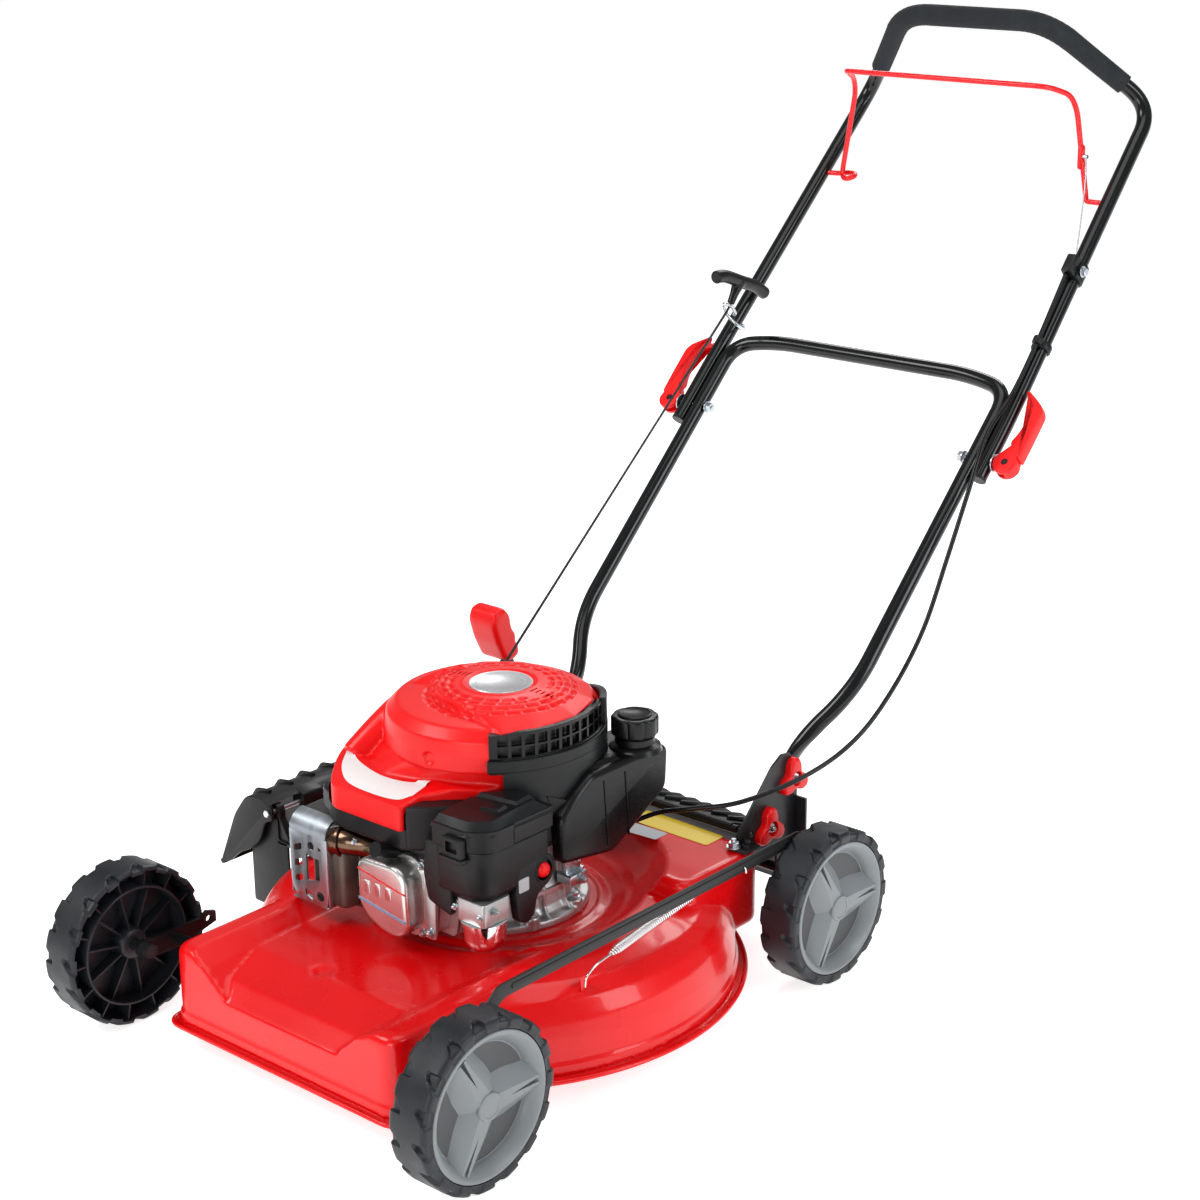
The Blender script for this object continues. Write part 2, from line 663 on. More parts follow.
def deck_lip_outline(grow=0.0, arc_steps=140):
    """Plan of the deck's bottom edge: round skirt with the front box let into it."""
    radius, half, front = LIP_R + grow, FRONT_HALF + 9 + grow, FRONT_Y - 9 - grow
    meet_y = DRUM_Y - math.sqrt(radius ** 2 - half ** 2)
    start = math.atan2(meet_y - DRUM_Y, half)
    sweep = 2 * math.pi - 2 * (math.pi / 2 + start)
    arc = [(radius * math.cos(start + sweep * i / arc_steps),
            DRUM_Y + radius * math.sin(start + sweep * i / arc_steps)) for i in range(arc_steps + 1)]
    box_part = rounded([(-half, meet_y, 0), (-half, front, 24), (half, front, 24), (half, meet_y, 0)], 0, 8)
    return arc + box_part[1:-1]


def deck_skin():
    drum = lathe([(0, 18), (DRUM_R, 18), (DRUM_R - 1, 50), (DRUM_R - 3, 70), (DRUM_R - 8, 90),
                  (DRUM_R - 17, 106), (DRUM_R - 34, 119), (DRUM_R - 62, 126.5), (0, 127)], 160,
                 (0, DRUM_Y, 0))
    front_plan = rounded([(-FRONT_HALF, FRONT_Y), (FRONT_HALF, FRONT_Y), (FRONT_HALF, 240),
                          (-FRONT_HALF, 240)], 22, 8)
    front = slab(front_plan, 18, FRONT_TOP, edge=11, steps=5)
    rear_plan = rounded([(-REAR_HALF, 390), (REAR_HALF, 390), (REAR_HALF, REAR_Y), (-REAR_HALF, REAR_Y)],
                        20, 8)
    rear = slab(rear_plan, 62, REAR_TOP, edge=9, steps=4)
    lip = slab(deck_lip_outline(-1.5), 18, DECK_LOW + 3.5)
    dish = lathe([(0, DISH_Z), (118, DISH_Z), (136, 110), (152, 116), (168, 129), (186, 152), (196, 170),
                  (196, 220), (0, 220)], 128, (0, CRANK_Y, 0))
    scoop_width = slab([(-80, 60), (80, 60), (88, 84), (112, 106), (150, 126), (150, 220), (-150, 220),
                        (-150, 126), (-116, 106), (-88, 84)], -40, CRANK_Y - 96, "Y")
    scoop_floor = slab([(-40, 62), (FRONT_Y, 77), (10, 93), (60, 105), (CRANK_Y - 96, DISH_Z),
                        (CRANK_Y - 96, 220), (-40, 220)], -170, 170, "X")
    scoop = combine("INTERSECT", scoop_width, scoop_floor)
    solid = joined(drum, front, rear, lip)
    solid = without(solid, dish, scoop)
    skin = melted(solid, 2.4, 7)
    for v in skin.verts:
        shape_pressing(v)
    cutter = block(-330, -232, 214, 402, 10, 125)
    skin = without(skin, cutter, block(-400, 400, -100, 700, 0, DECK_LOW + 0.8))
    bmesh.ops.delete(skin, geom=[f for f in skin.faces if hidden_cut_face(f)], context="FACES")
    return skin


def shape_pressing(v):
    """Pressed beads and creases: rings round the engine seat, a flare above the lip, a drain dimple."""
    x, y, z = v.co
    reach = math.hypot(x, y - CRANK_Y)
    if z > 96:
        v.co.z += 1.7 * bell(reach, 113, 4.5) - 1.2 * bell(reach, 124, 4.5) + 1.4 * bell(reach, 139, 6)
    v.co.z -= 4.0 * bell(math.hypot(x + 22, y - 66), 0, 9) * smoothstep(60, 90, z)
    flare = (1 - smoothstep(43, 48, z)) * smoothstep(30, 34, z)
    if abs(v.normal.z) < 0.6:
        out = Vector((v.normal.x, v.normal.y, 0))
        if out.length > 1e-6:
            v.co += out.normalized() * 2.2 * flare


def hidden_cut_face(face):
    """The flat faces left by the cuts at the open bottom and at the chute mouth."""
    centre, normal = face.calc_center_median(), face.normal
    if centre.z < DECK_LOW + 1.2 and abs(normal.z) > 0.9:
        return True
    in_mouth = -236 < centre.x < -228 and 214 < centre.y < 402 and centre.z < 126
    return in_mouth and abs(normal.x) > 0.95


def build_deck():
    deck = piece("deck_pressing", deck_skin(), RED_PAINT, "frame", ["deck_shell"], crease=60)
    sheet = deck.modifiers.new("sheet", "SOLIDIFY")
    sheet.thickness = 2.4 * MM
    sheet.offset = -1
    rim = deck_lip_outline(-1.5)
    mouth = [i for i, (x, y) in enumerate(rim) if x < 0 and 210 < y < 406]
    first, last = mouth[0], mouth[-1]
    open_path = rim[last + 1:] + rim[:first]
    bead = tube([(x, y, DECK_LOW + 2.6) for x, y in open_path], 2.7, 10)
    piece("deck_rolled_edge", bead, RED_PAINT, "frame")
    seat = lathe([(97, DISH_Z - 0.2), (111, DISH_Z - 0.2), (111, DISH_Z + 0.6), (97, DISH_Z + 0.6)], 96,
                 (0, CRANK_Y, 0))
    piece("engine_seat_ring", seat, RED_PAINT, "frame")
    plate = slab(rounded([(36, 486), (150, 486), (150, 517), (92, 519), (36, 519)], 4), REAR_TOP + 0.25,
                 REAR_TOP + 0.7)
    piece("rear_step_label", plate, YELLOW_LABEL, "frame")
    tag = slab(rounded([(22, 456), (96, 462), (96, 484), (22, 482)], 3), REAR_TOP + 0.2, REAR_TOP + 0.5)
    piece("rear_step_tag", tag, GREY_LABEL, "frame")


# ---------------------------------------------------------------- engine cowl and blower shroud
SHROUD_R, COWL_TOP = 122.0, 361.0
LABEL_X, LABEL_Y = 8.0, 312.0


def around_crank(bm, degrees):
    """Carries a shape laid out on the +X side of the crankshaft round it."""
    return shifted(spun(bm, degrees, "Z"), y=CRANK_Y)


def level(outline, z):
    return [(x, y, z) for x, y in outline]


def cowl_solid():
    """Bell over the fan, drawn forward and to the right into a shelf above the cylinder."""
    low = [(80, 235), (40, 216), (15, 206), (-15, 193), (-46, 188), (-80, 197), (-105, 222), (-122, 262),
           (-118, 320), (-60, 340), (60, 330), (92, 300), (90, 262)]
    waist = [(84, 230), (40, 218), (0, 214), (-45, 222), (-85, 245), (-108, 280), (-115, 320), (-102, 366),
             (-62, 404), (0, 422), (62, 404), (102, 366), (116, 320), (112, 270)]
    shoulder = [(86, 231), (30, 238), (-20, 248), (-58, 264), (-86, 292), (-96, 330), (-84, 376),
                (-50, 404), (0, 414), (56, 400), (92, 366), (112, 316), (107, 262)]
    crown = circle(LABEL_X, LABEL_Y, 68, 40)
    top = circle(LABEL_X, LABEL_Y, 38, 40)
    drum = lathe([(0, 300), (117, 300), (117, 320), (115, 335), (104, 346), (0, 352)], 96, (0, CRANK_Y, 0))
    bell_parts = [hull(level(low, 281) + level(waist, 312)), hull(level(waist, 312) + level(shoulder, 345)),
                  hull(level(shoulder, 345) + level(crown, COWL_TOP - 2.5)),
                  hull(level(crown, COWL_TOP - 2.5) + level(top, COWL_TOP))]
    plan = rounded([(-131, 214, 18), (-122, 190), (-104, 166, 14), (-88, 149, 12), (15, 149, 3),
                    (20, 176, 6), (52, 206), (80, 232, 6), (88, 262), (90, 300), (-110, 300), (-124, 250)],
                   16, 6)
    side = rounded([(140, 242), (140, 269), (152, 270), (200, 283), (300, 284), (300, 262), (156, 262),
                    (156, 242)], 3, 4)
    shelf = combine("INTERSECT", slab(plan, 240, 290), slab(side, -140, 120, "X"))
    front = slab(rounded([(-128, 212, 16), (-104, 168, 14), (-90, 149.5, 12), (16, 149.5, 2), (18, 156, 1),
                          (-86, 158, 10), (-120, 214, 8)], 6, 6), 243, 266)
    ridge = tube(curve_route([(-112, 205, 278), (-103, 236, 300), (-92, 268, 322), (-76, 300, 338),
                              (-60, 330, 346)], 8),
                 [15 + 4 * math.sin(i / 32 * math.pi) for i in range(33)], 20)
    solid = melted(merged(drum, *bell_parts, shelf, front, ridge), 1.7, 6)
    behind = [(85, 228), (200, 200), (200, 460), (-200, 460), (-200, 300), (-60, 330), (60, 320), (85, 280)]
    return without(solid, slab(behind, 200, 304))


def vent_mask(x, y):
    """1 on the pressed dashes: staggered rings of short marks around the label, left clear beside it."""
    reach, turn = math.hypot(x, y), math.degrees(math.atan2(y, x)) % 360
    if min(abs(turn - 178), abs(turn - 2), abs(turn - 362)) < 20 and reach < 62:
        return 0.0
    best = 0.0
    for ring in range(1, 5):
        radius = 46 + 8.5 * ring
        arc = math.radians(turn) * radius + (ring % 2) * 8.5
        along = abs(arc % 17 - 8.5)
        best = max(best, smoothstep(6.6, 5.2, along) * smoothstep(2.6, 1.5, abs(reach - radius)))
    return best


def build_cowl():
    skin = cowl_solid()
    for v in skin.verts:
        press_cowl(v)
    windows = [around_crank(block(106, 140, -9, 9, 306, 345.5 - 2 * abs(step - 4.5) / 4), -41 + step * 8.6)
               for step in range(10)]
    slots = []
    for side in (0, 180):
        for i in range(5):
            mark = block(43 + i * 6, 45.2 + i * 6, -6 + i * 0.7, 6 - i * 0.7, 352, 380)
            slots.append(shifted(spun(mark, side + 6, "Z"), LABEL_X, LABEL_Y))
    rope_mouth = rod((-50, CRANK_Y + 66, 334), (-82, CRANK_Y + 108, 356), 8, 24)
    skin = without(skin, merged(*windows[::2]), merged(*windows[1::2]), merged(*slots), rope_mouth)
    under_label = BVHTree.FromBMesh(skin)
    piece("cowl_skin", skin, RED_PLASTIC, "frame", ["engine_cowl"], crease=55)
    label_seat = (LABEL_X, LABEL_Y, COWL_TOP - 0.4)
    disc = lathe([(0, -3), (34.4, -3), (34.4, -0.4), (33.8, 0.2), (31.4, 0.2), (31.0, -0.1), (0, -0.1)], 96,
                 label_seat)
    piece("round_label", disc, LABEL, "frame")
    back = curve_2d([(-122, 211), (-104, 199), (-80, 190), (-46, 184), (-12, 187), (14, 198)])
    front = curve_2d([(-121, 207), (-101, 178), (-73, 160), (-36, 156), (0, 159), (13, 172)])
    piece("crescent_label", draped(back, front, under_label, 0.5), WHITE_LABEL, "frame")
    lines = lathe([(26.2, -0.2), (26.8, -0.2), (26.8, 0.1), (26.2, 0.1)], 72, label_seat)
    piece("label_ring", lines, GREY_LABEL, "frame")


def press_cowl(v):
    """Pressed marks of the cowl: vent dashes, label seat, a round dimple and the groove over the shelf."""
    x, z = v.co.x, v.co.z
    if z > 336:
        v.co.z -= 2.2 * vent_mask(x - LABEL_X, v.co.y - LABEL_Y)
        ring = math.hypot(x - LABEL_X, v.co.y - LABEL_Y)
        v.co.z -= 1.2 * smoothstep(38.0, 36.6, ring) - 0.9 * bell(ring, 40.5, 1.6)
    v.co.y += 4.0 * smoothstep(8.2, 5.6, math.hypot(x - 17, z - 312)) * smoothstep(-60, -84, v.co.y - CRANK_Y)
    groove = smoothstep(7, 0, abs(v.co.y - 203 - 0.0015 * (x + 40) ** 2))
    v.co.z -= 1.5 * groove * smoothstep(292, 288, z) * smoothstep(276, 280, z)


def curve_2d(points, per_span=8):
    return [(p.x, p.y) for p in curve_route([(u, v, 0) for u, v in points], per_span)]


def draped(edge_a, edge_b, surface_below, lift, rows=10):
    """Thin sheet laid from above on the cowl's shelf, between two edges given in plan."""
    bm = bmesh.new()
    grid = []
    for k in range(rows + 1):
        t = k / rows
        row = []
        for (ax, ay), (bx, by) in zip(edge_a, edge_b):
            x, y = ax + (bx - ax) * t, ay + (by - ay) * t
            hit = surface_below.ray_cast(Vector((x, y, 600)), Vector((0, 0, -1)))[0]
            shelf = 270 + 13 * smoothstep(152, 200, y)
            height = max(shelf - 3, min(hit.z, shelf + 1)) if hit else shelf
            row.append(bm.verts.new((x, y, height + lift)))
        grid.append(row)
    for low, high in zip(grid, grid[1:]):
        for i in range(len(low) - 1):
            bm.faces.new((low[i], low[i + 1], high[i + 1], high[i]))
    bmesh.ops.recalc_face_normals(bm, faces=bm.faces)
    if sum(f.normal.z for f in bm.faces) < 0:
        bmesh.ops.reverse_faces(bm, faces=bm.faces)
    return bm


def arc_wall(radius, thick, start, end, low, high, step=3.0):
    """Curved wall round the crankshaft between two angles. low and high may be functions of the angle."""
    count = max(2, int(abs(end - start) / step))
    bm = bmesh.new()
    rings = []
    for i in range(count + 1):
        degrees = start + (end - start) * i / count
        turn = math.radians(degrees)
        z0, z1 = (f(degrees) if callable(f) else f for f in (low, high))
        rings.append([bm.verts.new((r * math.cos(turn), CRANK_Y + r * math.sin(turn), z))
                      for r, z in ((radius, z0), (radius + thick, z0), (radius + thick, z1), (radius, z1))])
    for a, b in zip(rings, rings[1:]):
        for k in range(4):
            bm.faces.new((a[k], a[(k + 1) % 4], b[(k + 1) % 4], b[k]))
    bm.faces.new(rings[0])
    bm.faces.new(rings[-1])
    return outward(bm)


def build_shroud():
    drum = lathe([(0, 217), (SHROUD_R - 2, 217), (SHROUD_R, 219), (SHROUD_R, 300), (SHROUD_R - 1, 314),
                  (SHROUD_R - 4, 317.5), (0, 317.5)], 128, (0, CRANK_Y, 0))
    lobe_plan = rounded([(-112, 166, 16), (-92, 152, 14), (18, 152, 8), (36, 176), (92, 226), (96, 330),
                         (-112, 330), (-124, 240)], 20, 6)
    lobe = slab(lobe_plan, 220, 262, edge=3, steps=3)
    band = slab(rounded([(20, 152, 4), (36, 164), (92, 222), (96, 330), (20, 330)], 10, 6), 222, 271,
                edge=2, steps=3)
    skirt_plan = rounded([(-136, 176, 16), (-96, 160, 12), (-60, 158), (-60, 260), (-130, 260)], 12, 6)
    skirt = slab(skirt_plan, 226, 250, edge=3, steps=3)
    shroud = melted(merged(drum, lobe, skirt, band), 1.6, 2)
    under_shelf = slab(rounded([(-100, 140), (20, 140), (20, 172), (-108, 172)], 8), 244, 300)
    under_bell = [(-150, 140), (21, 140), (22, 176), (52, 205), (84, 231), (86, 262), (86, 300),
                  (-110, 310), (-140, 290), (-150, 200)]
    beside_bell = [(20, 130), (70, 130), (110, 203), (86, 233), (86, 300), (0, 300)]
    shroud = without(shroud, under_shelf, slab(under_bell, 262, 330), slab(beside_bell, 271.5, 330))
    piece("shroud_shell", shroud, BLACK_PLASTIC, "frame", ["blower_shroud"], crease=40, bevel=0.8)
    start, end = -45.5, 33.0

    def top(degrees):
        return 346.0 - 2.5 * smoothstep(-30, -45, degrees) - 3 * smoothstep(20, 33, degrees)

    frame_wall = arc_wall(112, 5.5, start - 3, end + 3, 300, top, 2.5)
    cells = []
    for i in range(11):
        centre = start + 4 + i * (end - start - 8) / 10
        for low, high in ((318.5, 329.0), (331.0, 342.0)):
            cells.append(around_crank(block(100, 130, -5.4, 5.4, low, high), centre))
    frame_wall = without(frame_wall, merged(*cells))
    piece("side_grille", frame_wall, SATIN_PLASTIC, "frame", bevel=0.4)
    piece("grille_dark", arc_wall(106.5, 2.5, start - 3, end + 3, 306, 343, 4), DARK_PRINT, "frame")
    sill = arc_wall(112, 10.5, start - 4, end + 22, 303, 316.5, 3)
    piece("grille_sill", sill, BLACK_PLASTIC, "frame", bevel=1.5, steps=3)
    fairing = arc_wall(114, 8, 34, 102, 300, lambda d: 346 - 22 * smoothstep(40, 100, d), 3)
    piece("shroud_rear_fairing", fairing, BLACK_PLASTIC, "frame", bevel=1.5, steps=3)
    for degrees in (75, 128, 205):
        turn = math.radians(degrees)
        boss = (SHROUD_R * math.cos(turn), CRANK_Y + SHROUD_R * math.sin(turn))
        column = rod((*boss, 250), (*boss, 300), 7, 24, 2)
        screw = rod((*boss, 300), (*boss, 303.5), 5, 6, 0.5)
        piece(f"shroud_boss_{degrees}", merged(column, screw), BLACK_PLASTIC, "frame")


# ---------------------------------------------------------------- engine castings, exhaust and intake
def filler(t):
    """A point on the leaning axis of the oil filler, from its foot at t = 0 outward."""
    return Vector((-46 - 16 * t, CRANK_Y + 57 + 20 * t, 124 + 40 * t))


def build_block():
    body = lathe([(0, DISH_Z + 0.4), (99, DISH_Z + 0.4), (100, DISH_Z + 1.5), (100, DISH_Z + 8),
                  (98.5, DISH_Z + 9.5), (90, DISH_Z + 11), (85, 126), (83, 140), (84.5, 142), (84.5, 147),
                  (83, 149), (80, 160), (80, 192), (70, 206), (0, 206)], 120, (0, CRANK_Y, 0))
    bosses_and_ribs = []
    for i in range(18):
        degrees = i * 20 + 8
        if 235 < degrees % 360 < 300:
            continue
        rib = slab([(80, DISH_Z + 4), (97.5, DISH_Z + 9), (90, 128), (86, 172), (78, 176)], -1.6, 1.6, "Y")
        bosses_and_ribs.append(around_crank(rib, degrees))
    bolts = {}
    for degrees in (-62, -24, 16, 58, 118, 168, 212):
        turn = math.radians(degrees)
        x, y = 93 * math.cos(turn), CRANK_Y + 93 * math.sin(turn)
        bolts[degrees % 360] = (x, y, DISH_Z + 17)
        bosses_and_ribs.append(rod((x, y, DISH_Z + 0.5), (x, y, DISH_Z + 17), 9, 24, 1.5))
    bosses_and_ribs.append(block(-44, 40, 188, 260, 128, 204))
    casting = melted(merged(body, *bosses_and_ribs), 1.6, 2)
    piece("crankcase_casting", casting, CAST, "frame", ["engine_block"], crease=60)
    for degrees, place in bolts.items():
        piece(f"flange_bolt_{degrees}", hex_bolt(place, (0, 0, 1), 5, 4.5, 6.5, 2.4, 0.8), ZINC, "frame")
    fins = []
    for i in range(7):
        y = 186.5 + i * 6.2
        fins.append(slab(rounded([(-60, 122), (56, 122), (60, 150), (56, 212), (-56, 212), (-60, 160)], 7),
                         y, y + 1.8, "Y"))
    piece("cylinder_fins", merged(*fins), CAST, "frame", crease=35)
    sump = lathe([(84.6, 141.6), (87.5, 141.9), (87.5, 146.8), (84.6, 147)], 120, (0, CRANK_Y, 0))
    piece("crankcase_seam", sump, CAST, "frame")
    bracket = slab(rounded([(316, 150), (330, 150), (340, 168), (338, 190), (322, 196), (312, 184)], 3), 92,
                   96, "X", 0.8)
    foot = slab(rounded([(312, 148), (340, 148), (340, 160), (312, 160)], 3), 84, 104, "X", 0.8)
    piece("governor_bracket", merged(bracket, foot), ZINC, "frame")
    piece("governor_bolt", hex_bolt((96, 326, 176), (1, 0, 0), 5.5, 4, 7, 2.6, 4), ZINC, "frame")
    piece("bracket_bolt", hex_bolt((104, 328, 154), (1, 0, 0), 5.5, 4, 7, 2.6, 4), ZINC, "frame")
    bottom, mouth = filler(0), filler(1.2)
    hole = rod(bottom, mouth + Vector((-2, 3, 5)), 9, 24)
    piece("filler_boss", without(rod(bottom, mouth, 13, 32, 1), hole), CAST, "frame")


def build_valve_cover():
    front = rounded([(-44, 150, 9), (-44, 196, 9), (-34, 203, 8), (14, 205, 8), (28, 194, 10),
                     (30, 136, 12), (16, 124, 12), (-4, 124, 12), (-30, 134, 12)], 6, 6)
    dome = slab(front, 141, 168, "Y")
    rim = [e for e in dome.edges if all(v.co.y < 141.01 for v in e.verts)]
    bmesh.ops.bevel(dome, geom=rim, offset=6, segments=6, affect="EDGES", profile=0.6)
    flange = slab(rounded([(-49, 146), (-49, 200), (-37, 208), (17, 210), (33, 198), (35, 134), (20, 119),
                           (-6, 119), (-34, 130)], 8, 5), 166, 171.5, "Y", 1.2, 3)
    back = slab(rounded([(-46, 140), (-46, 206), (48, 208), (50, 160), (46, 130), (30, 122), (-6, 121)], 6,
                        5), 171, 188, "Y", 1.0)
    piece("valve_cover_pressing", merged(dome, flange), COVER_STEEL, "frame", ["valve_cover"], crease=45)
    piece("cylinder_head", back, CAST, "frame", crease=40)
    bars = [slab(rounded([(x, 165), (x + 9, 164), (x + 9, 178), (x, 179)], 1.5), 139.9, 141.3, "Y", 0.5)
            for x in (-33, -17, -1)]
    piece("cover_raised_bars", merged(*bars), COVER_STEEL, "frame")
    piece("cover_red_line",
          slab([(-42.6, 190.6), (27.6, 178.2), (27.6, 176.6), (-42.6, 189.0)], 140.6, 141.5, "Y"), RED_WIRE,
          "frame")
    piece("cover_blue_band",
          slab([(-42.8, 157), (27.8, 147), (27.8, 144), (-42.5, 154)], 140.7, 141.5, "Y"), PALE_BLUE,
          "frame")
    for x, z in ((-43, 202), (29, 203), (28, 126), (-43, 138)):
        piece(f"cover_bolt_{int(x) + 50}_{int(z)}",
              hex_bolt((x, 166, z), (0, -1, 0), 3.6, 3, 4.6, 1.6, 0.4), ZINC, "frame")
    plate = slab(rounded([(38, 126), (52, 126), (54, 196), (40, 204), (37, 160)], 4), 160, 164, "Y", 0.8)
    piece("head_side_plate", plate, CAST, "frame")
    piece("side_plate_bolt", hex_bolt((46, 160, 134), (0, -1, 0), 4.4, 4, 6, 2.2, 1), ZINC, "frame")


def build_exhaust():
    can = slab(rounded([(-122, 146, 10), (-72, 146, 10), (-68, 160, 8), (-68, 196, 8), (-122, 196, 8)], 8,
                       6), 128, 204, edge=5, steps=4)
    seam = slab(rounded([(-124, 166), (-66, 166), (-66, 169), (-124, 169)], 1), 126, 206, edge=0.6)
    piece("muffler_can", merged(can, seam), HOT_STEEL, "frame", ["muffler_body"], crease=40)
    outer = slab(rounded([(-147, 142, 12), (-147, 226, 22), (-88, 226, 22), (-88, 142, 6), (-92, 126, 6),
                          (-136, 126, 12)], 8, 8), 139, 141.2, "Y", 0.7)
    curl = [(139 + 20 * (1 - math.cos(a)), 206 + 20 * math.sin(a))
            for a in (math.radians(i * 15) for i in range(7))]
    curl.append((159, 226))
    curl += [(y + (1.6 if y < 158 else 0), z - 2.0) for y, z in reversed(curl)]
    hood = slab(curl, -146, -90, "X")
    right = slab(rounded([(140, 130), (150, 130), (150, 214), (140, 214)], 3), -147.2, -145.2, "X", 0.6)
    left = slab(rounded([(140, 128), (147, 128), (147, 196), (140, 196)], 3), -89.6, -87.8, "X", 0.6)
    below = slab(rounded([(-146, 139.5), (-90, 139.5), (-90, 152), (-146, 152)], 3), 125.6, 127.4, "Z", 0.6)
    sides = merged(right, left, below)
    cuts = [block(-150, -84, 130, 150, 206.4, 240)]

    def chevron(x, z, wide=12, tall=8, lean=5):
        return slab(rounded([(x, z), (x + wide, z + lean), (x + wide, z + lean + tall), (x, z + tall)], 2.2,
                            3), 130, 150, "Y")

    for z in (181, 163, 145):
        cuts.append(chevron(-140, z))
    cuts.append(chevron(-125, 134, 11, 8, -4))
    cuts.append(slab(circle(-101, 138, 5.6, 20), 130, 150, "Y"))
    cuts.append(slab(rounded([(-121, 152), (-101, 156), (-101, 181), (-111, 181), (-121, 184)], 2, 3), 130,
                     150, "Y"))
    cuts.append(slab(circle(-113, 194, 5, 20), 130, 150, "Y"))
    face = without(outer, *cuts)
    piece("muffler_shield", merged(face, hood, sides), SATIN_STEEL, "frame", ["muffler_guard"], crease=40)
    path = curve_route([(-102, 158, 190), (-92, 156, 200), (-76, 158, 204), (-60, 166, 203),
                        (-46, 178, 199)], 8)
    elbow = tube(path, [17 - 3.5 * i / (len(path) - 1) for i in range(len(path))], 32)
    collar = merged(rod((-104, 158, 186), (-98, 157, 197), 18.5, 32, 1.4),
                    rod((-82, 156.5, 203.4), (-78, 157.5, 203.9), 18, 32, 0.8))
    piece("exhaust_pipe", merged(elbow, collar), BRONZE, "frame", ["exhaust_elbow"])
    piece("exhaust_nut", hex_bolt((-60, 158, 208), (0.2, -0.9, 0.2), 4.6, 5, 6.5, 2.4, 3), ZINC, "frame")
    keep("spark_plug", BLACK_PLASTIC, 0.8)


def clear_of_shroud(bm, extra=0.6):
    return without(bm,
                   lathe([(0, 190), (SHROUD_R + extra, 190), (SHROUD_R + extra, 345), (0, 345)], 96,
                         (0, CRANK_Y, 0)))


PRIMER = (242.0, 202.0)


